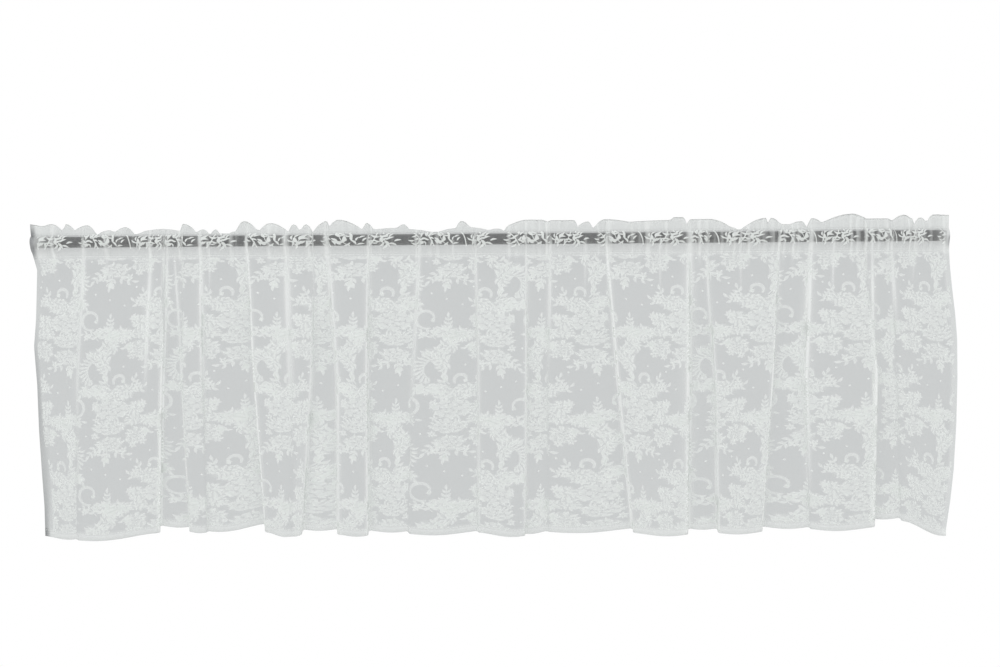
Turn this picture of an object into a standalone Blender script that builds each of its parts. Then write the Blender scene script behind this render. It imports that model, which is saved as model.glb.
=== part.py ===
"""Lace curtain panel gathered on a plain rod.

The panel is one sheet of sheer cloth. Its top is turned to the back and stitched twice,
which leaves a rod pocket with a standing ruffle above it, and its foot is turned up once
for a hem. Gathered on the rod, the cloth hangs in uneven flat panels that stand nearer to
or further from the wall, with steep narrow folds between them and two deep laps where the
cloth doubles back behind itself.

Frame: metres, +X along the rod, -Y towards the room, +Z up. The origin is the centre of
the rod's left end face. The tables below are in millimetres in the same frame.
"""

import math
from typing import NamedTuple

import bmesh
import bpy
import numpy as np

MM = 0.001
COLLECTION = "curtain_panel_on_rod"

ROD_LENGTH = 1307.0
ROD_RADIUS = 8.0
ROD_SIDES = 48

CLOTH_THICKNESS = 1.0
LAYER_HALF = 1.2  # half the distance between two stitched layers, centre to centre
POCKET_RADIUS = 9.55  # the cloth's own centre line around the rod, at the corners
POCKET_ANGLES = (-25.0, 20.0, 65.0)  # corners of one side of the pocket, above level
POCKET_RIPPLE = 1.6  # how much further the pocket stands off the rod at a crest
TOP_STITCH = 10.6
BOTTOM_STITCH = -21.0
POCKET_TAIL = 3.5  # turned-back cloth below the bottom stitch
HEM_DEPTH = 12.0
HEM_ROUND = 0.5  # the hem's fold stands this far above its lowest level
DROP_MIDDLE = -200.0  # level of each fold's middle position
DROP_HEM = -415.0  # level of each fold's lowest position
FOLD_GROWTH = 130.0  # folds reach full depth this far below the pocket
LAP_AT_TOP = 0.55  # share of a fold's width at the pocket
PANEL_BELLY = 3.5  # a wide panel's hem sags this much between its folds
WIDE_PANEL = 80.0
LEAST_RUFFLE = 14.5

# Rows down the front, as shares of the way from the pocket's foot to the hem.
FRONT_SHARES = (0.06, 0.15, 0.28, 0.45, 0.65, 0.85)
WAVE_AT_STITCH = 1.5
WAVE_AT_TOP = 4.5
WAVE_SHARES = (0.7, 0.3)  # what is left of the stitches' wave in the first front rows

FOLD_STEPS = 3  # columns across a fold
LAP_STEPS = 6  # columns across a lap
LEAST_COLUMN = 10.0
WIDEST_COLUMN = 30.0


class Fold(NamedTuple):
    """One steep fold between two flat panels."""

    top: float  # place along the rod at the pocket
    middle: float  # place at DROP_MIDDLE
    hem: float  # place at DROP_HEM
    half: float  # half the fold's width
    back: float  # how strongly the cloth doubles back under itself, 0 for none
    near_left: float  # how far the cloth stands towards the room, left of the fold
    near_right: float  # and right of it
    drop_left: float  # level of the hem left of the fold
    drop_right: float  # and right of it


FOLDS = (
    #    top middle   hem half back near_left near_right drop_left drop_right
    Fold(69, 59, 58, 8, 0.5, 5, 11, -427, -428),
    Fold(189, 180, 175, 17, 14.5, 10, -8, -419, -410),
    Fold(210, 208, 217, 5, 1.2, -9, 4, -412, -418),
    Fold(236, 237, 242, 5, 1.0, 5, -5, -419, -418),
    Fold(303, 311, 326, 6, 1.6, -11, 9, -409, -419),
    Fold(360, 366, 364, 7, 0.8, 11, 8, -425, -425),
    Fold(398, 395, 379, 5, 1.2, 7, -8, -424, -417),
    Fold(419, 431, 430, 7, 2.0, -9, 10, -417, -423),
    Fold(477, 474, 474, 5, 1.5, 10, -6, -425, -419),
    Fold(551, 539, 532, 6, 0.8, -3, 5, -420, -423),
    Fold(631, 634, 632, 6, 1.0, -7, 4, -421, -422),
    Fold(704, 703, 699, 5, 1.4, 8, -4, -427, -425),
    Fold(739, 734, 733, 6, 0.8, -6, 3, -422, -422),
    Fold(819, 834, 854, 6, 1.8, -8, 7, -419, -424),
    Fold(939, 937, 933, 6, 1.8, 9, -8, -427, -420),
    Fold(965, 974, 976, 5, 1.3, -7, 8, -420, -425),
    Fold(1067, 1057, 1040, 6, 1.8, 8, -8, -424, -418),
    Fold(1112, 1104, 1109, 6, 1.8, -6, 3, -419, -421),
    Fold(1193, 1204, 1199, 17, 14.5, 6, -11, -419, -408),
    Fold(1231, 1238, 1241, 5, 1.0, -9, -3, -407, -411),
)
END_NEAR = (2.0, 9.0)  # how far the left and right side edges stand towards the room
END_DROP = (-422.0, -431.0)


class SideEdge(NamedTuple):
    """Where the panel's two side edges hang at one level."""

    level: float
    left: float
    right: float


SIDE_EDGES = (
    SideEdge(-422, 10, 1302),
    SideEdge(-378, 9, 1309),
    SideEdge(-335, 6, 1314),
    SideEdge(-270, 2, 1318),
    SideEdge(-205, 0, 1320),
    SideEdge(-150, -4, 1320),
    SideEdge(-112, -1, 1318),
    SideEdge(-40, 1, 1312),
    SideEdge(-11, -7, 1311),
    SideEdge(28, -8, 1311),
)


class Crest(NamedTuple):
    """One crest of the ruffle's upper edge, and the dip before the next one."""

    place: float
    top: float
    dip: float


CRESTS = (
    Crest(-8, 26, 22),
    Crest(26, 26, 15),
    Crest(45, 26, 17),
    Crest(74, 24, 11),
    Crest(104, 18, 14),
    Crest(128, 21, 10),
    Crest(165, 18, 15),
    Crest(212, 25, 13),
    Crest(240, 18, 10),
    Crest(299, 28, 14),
    Crest(337, 25, 13),
    Crest(370, 23, 13),
    Crest(388, 23, 12),
    Crest(417, 27, 20),
    Crest(435, 29, 16),
    Crest(475, 24, 15),
    Crest(529, 22, 10),
    Crest(611, 26, 14),
    Crest(650, 15, 12),
    Crest(712, 28, 24),
    Crest(763, 26, 16),
    Crest(793, 24, 14),
    Crest(818, 27, 23),
    Crest(868, 25, 22),
    Crest(922, 29, 18),
    Crest(955, 26, 11),
    Crest(1053, 27, 18),
    Crest(1099, 22, 14),
    Crest(1115, 26, 20),
    Crest(1172, 32, 24),
    Crest(1215, 25, 21),
    Crest(1247, 30, 16),
    Crest(1270, 26, 19),
    Crest(1311, 30, 30),
)


class Row(NamedTuple):
    """One row of the sheet, from the hem's raw edge round to the pocket's raw edge.

    Its level is hem x (the hem's level) + ruffle x (the ruffle's level) + level.
    """

    hem: float
    ruffle: float
    level: float
    spread: float  # behind (+) or in front of (-) the middle plane
    wave: float  # depth of the gathers there
    bulge: float  # how much of the pocket's ripple is added to the spread


def ease(share):
    """Smooth step from 0 to 1."""
    share = np.clip(share, 0.0, 1.0)
    return share * share * (3.0 - 2.0 * share)


def growth(level):
    """Share of their depth that the folds have at a level: none at the pocket, all below."""
    return ease((BOTTOM_STITCH - level) / FOLD_GROWTH)


def side_edge(level, side):
    """Place along the rod of the left or right side edge at a level."""
    levels = [edge.level for edge in SIDE_EDGES]
    return np.interp(level, levels, [getattr(edge, side) for edge in SIDE_EDGES])


def fold_half(fold, level):
    """Half a fold's width at a level."""
    return fold.half * (LAP_AT_TOP + (1.0 - LAP_AT_TOP) * growth(level))


def fold_centre(fold, level):
    """Place along the rod of a fold's middle at a level."""
    levels = (DROP_HEM, DROP_MIDDLE, BOTTOM_STITCH)
    return np.interp(level, levels, (fold.hem, fold.middle, fold.top))


def knots_along(level):
    """Places of the left edge, of each fold's two sides and of the right edge at a level."""
    places = [side_edge(level, "left")]
    for fold in FOLDS:
        centre, half = fold_centre(fold, level), fold_half(fold, level)
        places += [centre - half, centre + half]
    return places + [side_edge(level, "right")]


def between_knots(values, station):
    """A value eased from knot to knot; a station is a knot's number plus a share."""
    knot = np.minimum(int(station), len(values) - 2)
    share = ease(station - knot)
    return values[knot] + (values[knot + 1] - values[knot]) * share


def knot_values(left, right, ends):
    """The values at all knots, from two fields of the folds and the two side edges."""
    values = [ends[0]]
    for fold in FOLDS:
        values += [getattr(fold, left), getattr(fold, right)]
    return values + [ends[1]]


def across(station, level):
    """Place along the rod and depth of the cloth's middle plane at a station and level."""
    knots = knots_along(level)
    place = np.interp(station, np.arange(len(knots)), knots)
    knot = int(station)
    if knot % 2 == 1 and knot < len(knots) - 1:
        turn = math.sin(2.0 * math.pi * (station - knot))
        place += FOLDS[knot // 2].back * growth(level) ** 2 * turn
    near = between_knots(knot_values("near_left", "near_right", END_NEAR), station)
    return place, -near * growth(level)


def hem_level(station):
    """Level of the hem's lowest line, with a belly between the folds of a wide panel."""
    drop = between_knots(knot_values("drop_left", "drop_right", END_DROP), station)
    knot = min(int(station), 2 * len(FOLDS))
    if knot % 2 == 0:
        knots = knots_along(DROP_HEM)
        width = min((knots[knot + 1] - knots[knot]) / WIDE_PANEL, 1.0)
        drop -= PANEL_BELLY * width * math.sin(math.pi * (station - knot))
    return drop


def crest_line(field_top, field_dip):
    """Places and values along the ruffle: each crest, and a dip between it and the next."""
    places, values = [], []
    for crest, after in zip(CRESTS, CRESTS[1:] + CRESTS[-1:]):
        places += [crest.place, 0.5 * (crest.place + after.place)]
        values += [field_top(crest), field_dip(crest)]
    return places[:-1], values[:-1]


def ruffle_level(place):
    """Level of the ruffle's upper edge."""
    places, tops = crest_line(lambda crest: crest.top, lambda crest: crest.dip)
    return max(float(np.interp(place, places, tops)), LEAST_RUFFLE)


def gather_wave(place):
    """-1 where the gathered cloth stands towards the room, at a crest, and 1 at a dip."""
    places, waves = crest_line(lambda crest: -1.0, lambda crest: 1.0)
    return float(np.interp(place, places, waves))


def pocket_rows(side):
    """Rows of the pocket from its bottom stitch to its top stitch; side is -1 in front."""
    rows = [Row(0.0, 0.0, BOTTOM_STITCH, side * LAYER_HALF, WAVE_AT_STITCH, 0.0)]
    for angle in POCKET_ANGLES:
        spread = POCKET_RADIUS * math.cos(math.radians(angle))
        level = POCKET_RADIUS * math.sin(math.radians(angle))
        bulge = side * math.cos(math.radians(angle))
        rows.append(Row(0.0, 0.0, level, side * spread, 0.0, bulge))
    rows.append(Row(0.0, 0.0, TOP_STITCH, side * LAYER_HALF, WAVE_AT_STITCH, 0.0))
    rows.append(Row(0.0, 1.0, 0.0, side * LAYER_HALF, WAVE_AT_TOP, 0.0))
    return rows


def section_rows():
    """All rows: hem, front, pocket front, ruffle, pocket back and its turned-back edge."""
    rows = [
        Row(1.0, 0.0, HEM_DEPTH, LAYER_HALF, 0.0, 0.0),
        Row(1.0, 0.0, HEM_ROUND, LAYER_HALF, 0.0, 0.0),
        Row(1.0, 0.0, HEM_ROUND, -LAYER_HALF, 0.0, 0.0),
    ]
    waves = dict(zip(FRONT_SHARES, WAVE_SHARES))
    for share in reversed(FRONT_SHARES):
        wave = WAVE_AT_STITCH * waves.get(share, 0.0)
        level = BOTTOM_STITCH * (1.0 - share)
        rows.append(Row(share, 0.0, level, -LAYER_HALF, wave, 0.0))
    rows += pocket_rows(-1.0)
    rows += reversed(pocket_rows(1.0))
    tail = BOTTOM_STITCH - POCKET_TAIL
    return rows + [Row(0.0, 0.0, tail, LAYER_HALF, WAVE_AT_STITCH, 0.0)]


def column_stations():
    """Stations of the sheet's columns: across each fold, at the ruffle's crests, and between."""
    knots = knots_along(BOTTOM_STITCH)
    stations = [0.0, len(knots) - 1.0]
    for number, fold in enumerate(FOLDS):
        steps = LAP_STEPS if fold.half > 10 else FOLD_STEPS
        stations += list(2 * number + 1 + np.arange(steps + 1) / steps)
    places = list(np.interp(stations, np.arange(len(knots)), knots))
    marks, _ = crest_line(lambda crest: crest.top, lambda crest: crest.dip)
    for mark in marks[1:-1]:
        if min(abs(mark - place) for place in places) > LEAST_COLUMN:
            places.append(mark)
            stations.append(float(np.interp(mark, knots, np.arange(len(knots)))))
    stations.sort()
    spaced = np.interp(stations, np.arange(len(knots)), knots)
    for left, right, start, end in zip(spaced, spaced[1:], stations, stations[1:]):
        for step in range(1, math.ceil((right - left) / WIDEST_COLUMN)):
            share = step / math.ceil((right - left) / WIDEST_COLUMN)
            stations.append(start + (end - start) * share)
    return sorted(stations)


def sheet_points(stations, rows):
    """Points of the whole sheet, row by row, as an array of rows x columns x 3."""
    hems = np.array([hem_level(station) for station in stations])
    homes = [across(station, BOTTOM_STITCH)[0] for station in stations]
    ruffles = np.array([ruffle_level(home) for home in homes])
    waves = np.array([gather_wave(home) for home in homes])
    points = np.zeros((len(rows), len(stations), 3))
    for number, row in enumerate(rows):
        levels = row.hem * hems + row.ruffle * ruffles + row.level
        plan = np.array([across(*pair) for pair in zip(stations, levels)])
        plan[:, 1] += row.wave * waves
        run = np.gradient(plan, axis=0)
        run /= np.linalg.norm(run, axis=1, keepdims=True)
        behind = np.stack([-run[:, 1], run[:, 0]], axis=1)
        spread = row.spread + row.bulge * POCKET_RIPPLE * (1.0 - waves) / 2.0
        points[number, :, :2] = plan + behind * spread[:, None]
        points[number, :, 2] = levels
    return points * MM


def make_material(name, colour, roughness, metallic):
    """A Principled material."""
    material = bpy.data.materials.new(name)
    material.use_nodes = True
    shader = material.node_tree.nodes["Principled BSDF"]
    shader.inputs["Base Color"].default_value = (*colour, 1.0)
    shader.inputs["Roughness"].default_value = roughness
    shader.inputs["Metallic"].default_value = metallic
    return material


def build_panel():
    """The cloth: a flat grid laid into its hung shape, then given its thickness."""
    stations = column_stations()
    rows = section_rows()
    points = sheet_points(stations, rows)
    columns, steps = len(stations) - 1, len(rows) - 1
    cage = bmesh.new()
    bmesh.ops.create_grid(cage, x_segments=columns, y_segments=steps, size=0.5)
    for vert in cage.verts:
        column = round((vert.co.x + 0.5) * columns)
        row = round((vert.co.y + 0.5) * steps)
        vert.co = points[row, column]
    bmesh.ops.triangulate(cage, faces=cage.faces)
    mesh = bpy.data.meshes.new("curtain_panel")
    cage.to_mesh(mesh)
    cage.free()
    mesh.shade_smooth()
    panel = bpy.data.objects.new("curtain_panel", mesh)
    shell = panel.modifiers.new("thickness", "SOLIDIFY")
    shell.thickness = CLOTH_THICKNESS * MM
    shell.offset = 0.0
    shell.use_even_offset = True
    mesh.materials.append(make_material("white_lace", (0.82, 0.84, 0.83), 0.9, 0.0))
    return panel


def build_rod():
    """The plain round rod, from the origin along +X."""
    bpy.ops.mesh.primitive_cylinder_add(
        vertices=ROD_SIDES,
        radius=ROD_RADIUS * MM,
        depth=ROD_LENGTH * MM,
        location=(0.5 * ROD_LENGTH * MM, 0.0, 0.0),
        rotation=(0.0, math.pi / 2.0, 0.0),
    )
    rod = bpy.context.object
    rod.name = "rod"
    rod.data.name = "rod"
    rod.data.shade_smooth()
    rod.data.set_sharp_from_angle(angle=math.radians(30.0))
    rod.data.materials.append(make_material("dark_metal", (0.06, 0.065, 0.07), 0.4, 1.0))
    return rod


def main():
    """Clears the scene and builds the panel and its rod."""
    for old in list(bpy.data.objects):
        bpy.data.objects.remove(old)
    collection = bpy.data.collections.new(COLLECTION)
    bpy.context.scene.collection.children.link(collection)
    for piece in (build_panel(), build_rod()):
        for owner in list(piece.users_collection):
            owner.objects.unlink(piece)
        collection.objects.link(piece)


main()
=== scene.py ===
"""Lace curtain panel gathered on a plain dark rod: its cloth, its lace work and its studio.

Frame: metres, +X along the rod, -Y towards the room, +Z up. The origin is the centre of the
rod's left end face. Tables and fields are in millimetres unless they say otherwise.
"""

import logging
import math
from dataclasses import dataclass, field
from enum import Enum
from typing import NamedTuple

import bpy
import numpy as np
from mathutils import Matrix, Vector


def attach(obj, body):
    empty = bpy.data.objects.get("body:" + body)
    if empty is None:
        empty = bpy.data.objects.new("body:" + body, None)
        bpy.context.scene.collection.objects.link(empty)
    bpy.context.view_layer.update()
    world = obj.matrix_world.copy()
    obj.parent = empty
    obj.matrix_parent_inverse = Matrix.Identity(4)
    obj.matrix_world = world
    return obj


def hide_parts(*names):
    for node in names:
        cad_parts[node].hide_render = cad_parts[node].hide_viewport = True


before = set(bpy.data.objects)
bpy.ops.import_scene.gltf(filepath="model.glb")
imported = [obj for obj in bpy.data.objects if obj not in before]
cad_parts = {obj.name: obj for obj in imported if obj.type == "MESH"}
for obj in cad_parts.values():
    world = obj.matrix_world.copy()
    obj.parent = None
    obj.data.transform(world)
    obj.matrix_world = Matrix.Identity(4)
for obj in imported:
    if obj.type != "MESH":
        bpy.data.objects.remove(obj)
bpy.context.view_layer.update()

Pair = tuple[float, float]  # a place across and up, or the values at two ends

MM = 0.001
WAVE_REPEAT = 0.314  # how far apart a wave texture's bands are at a scale of 1
LOG = logging.getLogger("curtain")


# --------------------------------------------------------------------------- small helpers


def linear(hex_code: str) -> tuple[float, float, float, float]:
    """Turns an sRGB hex colour into the linear colour that shaders take.

    Args:
        hex_code: Six hex digits, such as "f2f4f2".

    Returns:
        Linear red, green, blue and an alpha of 1.
    """
    shares = [int(hex_code[i : i + 2], 16) / 255.0 for i in (0, 2, 4)]
    return (*(s / 12.92 if s <= 0.04045 else ((s + 0.055) / 1.055) ** 2.4 for s in shares), 1.0)


def ease(share: np.ndarray) -> np.ndarray:
    """Smooth step from 0 to 1: 3 s squared less 2 s cubed, with s held from 0 to 1."""
    share = np.clip(share, 0.0, 1.0)
    return share * share * (3.0 - 2.0 * share)


def bell(distance: np.ndarray, width: np.ndarray | float) -> np.ndarray:
    """A bell curve: e to the minus (distance over width) squared."""
    return np.exp(-((distance / width) ** 2))


def summed(steps: np.ndarray) -> np.ndarray:
    """Running sum of steps, from 0: one value more than there are steps."""
    return np.concatenate([[0.0], np.cumsum(steps)])


def read(table: np.ndarray, at: np.ndarray, column: int = 1) -> np.ndarray:
    """A table's column, read straight between its rows at places of its first column."""
    return np.interp(at, table[:, 0], table[:, column])


def unit(degrees: np.ndarray | float) -> np.ndarray:
    """Unit vectors at angles from the right: cosine and sine, along one new last axis."""
    turn = np.radians(degrees)
    return np.stack([np.cos(turn), np.sin(turn)], axis=-1)


def grid_quads(rows: int, columns: int, copies: int = 1) -> np.ndarray:
    """Faces of grids of rows x columns points, numbered row by row and grid by grid.

    Args:
        rows: Rows of points in one grid.
        columns: Columns of points in one grid.
        copies: How many such grids follow each other.

    Returns:
        Numbers of points, n x 4.
    """
    row, column = np.mgrid[0 : rows - 1, 0 : columns - 1]
    first = (row * columns + column).ravel()
    one = np.stack([first, first + 1, first + columns + 1, first + columns], axis=1)
    return (one[None] + rows * columns * np.arange(copies)[:, None, None]).reshape(-1, 4)


def add_node(
    tree: bpy.types.NodeTree, kind: str, settings: dict | None = None, links: dict | None = None
) -> bpy.types.Node:
    """Adds one shader node with its settings and links.

    Args:
        tree: The node tree that it goes into.
        kind: The node's type name, less the "ShaderNode" at its front.
        settings: Property names, or input names or numbers, with their values.
        links: Input names or numbers, with the output socket that feeds each, or the node
            whose first output does.

    Returns:
        The new node.
    """
    node = tree.nodes.new("ShaderNode" + kind)
    for name, value in (settings or {}).items():
        if isinstance(name, str) and name in node.bl_rna.properties:
            setattr(node, name, value)
        else:
            node.inputs[name].default_value = value
    for name, source in (links or {}).items():
        socket = source.outputs[0] if isinstance(source, bpy.types.Node) else source
        tree.links.new(socket, node.inputs[name])
    return node


def new_object(name: str, points: np.ndarray, quads: np.ndarray) -> bpy.types.Object:
    """Makes a mesh object in the shared frame.

    Args:
        name: The object's name.
        points: n x 3 places, in millimetres.
        quads: m x 4 numbers of points.

    Returns:
        The object, linked into the scene.
    """
    mesh = bpy.data.meshes.new(name)
    mesh.from_pydata((points * MM).tolist(), [], quads.tolist())
    made = bpy.data.objects.new(name, mesh)
    bpy.context.scene.collection.objects.link(made)
    return made


def new_piece(
    name: str,
    points: np.ndarray,
    quads: np.ndarray,
    material: bpy.types.Material,
    flat: np.ndarray,
    fields: dict[str, np.ndarray] | None = None,
) -> bpy.types.Object:
    """Makes one piece of the panel, which rides on the fixed body and is of white lace.

    Args:
        name: The piece's name.
        points: n x 3 places, in millimetres.
        quads: m x 4 numbers of points.
        material: Its finish.
        flat: n x 2 places on the flat cloth, in millimetres, which become the UV map.
        fields: Named values, one a point, which the finish reads, or None.

    Returns:
        The piece.
    """
    piece = new_object(name, points, quads)
    mesh = piece.data
    corners = np.zeros(len(mesh.loops), np.int32)
    mesh.loops.foreach_get("vertex_index", corners)
    uv_map = mesh.uv_layers.new(name="flat")
    uv_map.data.foreach_set("uv", (flat[corners] * MM).astype(np.float32).ravel())
    for field_name, values in (fields or {}).items():
        made = mesh.attributes.new(field_name, "FLOAT", "POINT")
        made.data.foreach_set("value", values.astype(np.float32))
    mesh.shade_smooth()
    mesh.materials.append(material)
    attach(piece, "root")
    LOG.info("%s: %d points, %d faces", name, len(points), len(quads))
    return piece


# --------------------------------------------------------------------------- the finishes


@dataclass(frozen=True)
class Finish:
    """What all finishes share: a material whose nodes end in the finish's own shader."""

    name: str

    def shader(self, tree: bpy.types.NodeTree) -> bpy.types.Node:
        """Adds the finish's nodes to a tree and gives its shader; each finish has its own."""
        raise NotImplementedError(self.name)

    def material(self) -> bpy.types.Material:
        """Makes the material.

        Returns:
            The material, which has the finish's name.
        """
        material = bpy.data.materials.new(self.name)
        material.use_nodes = True
        tree = material.node_tree
        tree.nodes.clear()
        add_node(tree, "OutputMaterial", links={0: self.shader(tree)})
        return material


@dataclass(frozen=True)
class NetFinish(Finish):
    """Polyester lace net, warp-knitted from fine bright yarn and left uncoated.

    It reads as a thin even haze: threads cover a tenth of it, so what is behind shows
    through, and it grows whiter only where several layers are bunched together.
    """

    name: str = "lace_net_warp_knitted_polyester"
    thread: str = "f7f9f8"
    shade: str = "edf0ef"
    # painted shade: the grey that the net turns where its left edge rolls under and at the pocket's
    # right mouth
    edge: str = "7c7e80"  # the side edge, where it rolls under into its own shade
    cover: float = 0.11  # share of one layer that is thread
    mesh_contrast: float = 0.055  # how much that share rises on threads and falls in holes
    pitch: float = 1.8  # hole to hole, drawn a little coarser than the knitted 1.2
    clouds: float = 9.0  # slow changes of tone, a metre

    def shader(self, tree: bpy.types.NodeTree) -> bpy.types.Node:
        """Adds the net's nodes: cover follows a diamond mesh, the product of two crossed sine
        waves, and clearness is one layer's to the power of the layers bunched there.

        Args:
            tree: The material's node tree.

        Returns:
            The shader.
        """
        flat = add_node(tree, "UVMap", {"uv_map": "flat"})
        turns = 2.0 * math.pi / (self.pitch * MM)
        diamonds = {"Rotation": (0.0, 0.0, math.radians(45.0)), "Scale": (turns, turns, 1.0)}
        turned = add_node(tree, "Mapping", diamonds, {"Vector": flat})
        axes = add_node(tree, "SeparateXYZ", links={0: turned})
        waves = [add_node(tree, "Math", {"operation": "SINE"}, {0: axis}) for axis in axes.outputs[:2]]
        mesh = add_node(tree, "Math", {"operation": "MULTIPLY"}, dict(enumerate(waves)))
        holes = {"operation": "MULTIPLY_ADD", 1: -self.mesh_contrast, 2: 1.0 - self.cover}
        clear = add_node(tree, "Math", holes, {0: mesh})
        bunch = add_node(tree, "Attribute", {"attribute_name": "bunch"}).outputs["Fac"]
        through = add_node(tree, "Math", {"operation": "POWER"}, {0: clear, 1: bunch})
        alpha = add_node(tree, "Math", {"operation": "SUBTRACT", 0: 1.0}, {1: through})
        cloud = add_node(tree, "TexNoise", {"Scale": self.clouds, "Detail": 3.0}, {"Vector": flat})
        tones = {"data_type": "RGBA", 6: linear(self.shade), 7: linear(self.thread)}
        colour = add_node(tree, "Mix", tones, {0: cloud})
        # painted shade: the net's colour turns grey where its edge rolls under and at the pocket's right
        # mouth
        rolled_and_shaded = add_node(tree, "Attribute", {"attribute_name": "rolled_and_shaded"}).outputs["Fac"]
        edge = {"data_type": "RGBA", 7: linear(self.edge)}
        edge_shaded = add_node(tree, "Mix", edge, {0: rolled_and_shaded, 6: colour.outputs[2]})
        rough = add_node(tree, "Math", {"operation": "MULTIPLY_ADD", 1: 0.15, 2: 0.78}, {0: cloud})
        bump = add_node(tree, "Bump", {"Strength": 0.25, "Distance": 0.0002}, {"Height": mesh})
        return add_node(
            tree,
            "BsdfPrincipled",
            {"IOR": 1.5, "Specular IOR Level": 0.2},
            {"Base Color": edge_shaded.outputs[2], "Roughness": rough, "Alpha": alpha, "Normal": bump},
        )


@dataclass(frozen=True)
class WorkFinish(Finish):
    """Lace figure work: the same polyester yarn laid in over the net, row upon row.

    It reads as soft matt white with a faint crosswise rib. The less closely it is laid in,
    the more of the ground comes through, so petals look greyer than leaves.
    """

    cover: float  # share of the figure that is thread
    rib_contrast: float
    thread: str = "f7faf8"
    shade: str = "edf1ef"
    pitch: float = 1.1  # row to row
    clouds: float = 60.0  # changes of tone, a metre

    def shader(self, tree: bpy.types.NodeTree) -> bpy.types.Node:
        """Adds the figure work's nodes: cover and height follow the crosswise rows.

        Args:
            tree: The material's node tree.

        Returns:
            The shader.
        """
        flat = add_node(tree, "UVMap", {"uv_map": "flat"})
        rows = {"bands_direction": "Y", "Scale": WAVE_REPEAT / (self.pitch * MM)}
        rows |= {"Distortion": 1.5, "Detail": 1.0}
        rib = add_node(tree, "TexWave", rows, {"Vector": flat}).outputs["Fac"]
        least = self.cover - 0.5 * self.rib_contrast
        filled = {"operation": "MULTIPLY_ADD", 1: self.rib_contrast, 2: least}
        alpha = add_node(tree, "Math", filled, {0: rib})
        cloud = add_node(tree, "TexNoise", {"Scale": self.clouds, "Detail": 2.0}, {"Vector": flat})
        tones = {"data_type": "RGBA", 6: linear(self.shade), 7: linear(self.thread)}
        colour = add_node(tree, "Mix", tones, {0: cloud})
        bump = add_node(tree, "Bump", {"Strength": 0.5, "Distance": 0.0003}, {"Height": rib})
        return add_node(
            tree,
            "BsdfPrincipled",
            {"Roughness": 0.8, "IOR": 1.5, "Specular IOR Level": 0.25},
            {"Base Color": colour.outputs[2], "Alpha": alpha, "Normal": bump},
        )


@dataclass(frozen=True)
class ThreadFinish(Finish):
    """Spun polyester sewing thread: white, matt, with the slant of its twist."""

    name: str = "sewing_thread_spun_polyester"
    thread: str = "e9edea"
    twist: float = 0.5  # slant to slant along a stitch

    def shader(self, tree: bpy.types.NodeTree) -> bpy.types.Node:
        """Adds the thread's nodes: the twist shows as fine slanting height.

        Args:
            tree: The material's node tree.

        Returns:
            The shader.
        """
        flat = add_node(tree, "UVMap", {"uv_map": "flat"})
        slant = {"bands_direction": "DIAGONAL", "Scale": WAVE_REPEAT / (self.twist * MM)}
        twist = add_node(tree, "TexWave", slant, {"Vector": flat}).outputs["Fac"]
        bump = add_node(tree, "Bump", {"Strength": 0.6, "Distance": 0.0001}, {"Height": twist})
        looks = {"Base Color": linear(self.thread), "Roughness": 0.65, "IOR": 1.5}
        return add_node(tree, "BsdfPrincipled", looks, {"Normal": bump})


@dataclass(frozen=True)
class RodFinish(Finish):
    """Steel tube, drawn, then sprayed in satin charcoal paint.

    It reads as near black with a soft sheen, a faint orange peel and slight draw lines.
    """

    name: str = "painted_steel_satin_charcoal"
    paint: str = "1b1d1f"
    worn: str = "26282a"
    lines: float = 900.0  # draw lines round the rod, a metre
    line_stretch: float = 0.05  # their scale along the rod
    peel: float = 650.0  # bumps of orange peel, a metre

    def shader(self, tree: bpy.types.NodeTree) -> bpy.types.Node:
        """Adds the paint's nodes: draw lines lift its tone, peel its height and its gloss.

        Args:
            tree: The material's node tree.

        Returns:
            The shader.
        """
        place = add_node(tree, "TexCoord").outputs["Object"]
        drawn = add_node(tree, "Mapping", {"Scale": (self.line_stretch, 1.0, 1.0)}, {"Vector": place})
        lines = add_node(tree, "TexNoise", {"Scale": self.lines, "Detail": 2.0}, {"Vector": drawn})
        peel = add_node(tree, "TexNoise", {"Scale": self.peel, "Detail": 2.0}, {"Vector": place})
        tones = {"data_type": "RGBA", 6: linear(self.paint), 7: linear(self.worn)}
        colour = add_node(tree, "Mix", tones, {0: lines})
        rough = add_node(tree, "Math", {"operation": "MULTIPLY_ADD", 1: 0.12, 2: 0.42}, {0: peel})
        bump = add_node(tree, "Bump", {"Strength": 0.3, "Distance": 0.0002}, {"Height": peel})
        return add_node(
            tree,
            "BsdfPrincipled",
            {"IOR": 1.45, "Specular IOR Level": 0.35},
            {"Base Color": colour.outputs[2], "Roughness": rough, "Normal": bump},
        )


def seen_through(tree: bpy.types.NodeTree) -> bpy.types.Node:
    """Adds nodes that give 1 for what is looked at through the net and 0 for all else.

    Args:
        tree: The node tree that they go into.

    Returns:
        The node with that value.
    """
    path = add_node(tree, "LightPath")
    behind = {0: path.outputs["Transparent Depth"]}
    deep = add_node(tree, "Math", {"operation": "GREATER_THAN", 1: 0.5}, behind)
    return add_node(tree, "Math", {"operation": "MULTIPLY"}, {0: deep, 1: path.outputs["Is Camera Ray"]})


@dataclass(frozen=True)
class FloorFinish(Finish):
    """Plain matt paint on a level floor: pale, and greyer through the net, as the room is."""

    name: str = "plain_matt_floor"
    paint: str = "f4f4f3"
    behind: str = "c8c9ca"

    def shader(self, tree: bpy.types.NodeTree) -> bpy.types.Node:
        """Adds the floor's nodes.

        Args:
            tree: The material's node tree.

        Returns:
            The shader.
        """
        tones = {"data_type": "RGBA", 6: linear(self.paint), 7: linear(self.behind)}
        colour = add_node(tree, "Mix", tones, {0: seen_through(tree)})
        return add_node(tree, "BsdfDiffuse", {"Roughness": 1.0}, {"Color": colour.outputs[2]})


# --------------------------------------------------------------------------- how it hangs

MIDDLE_LEVEL = -200.0  # where the folds' and creases' middle places are


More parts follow.
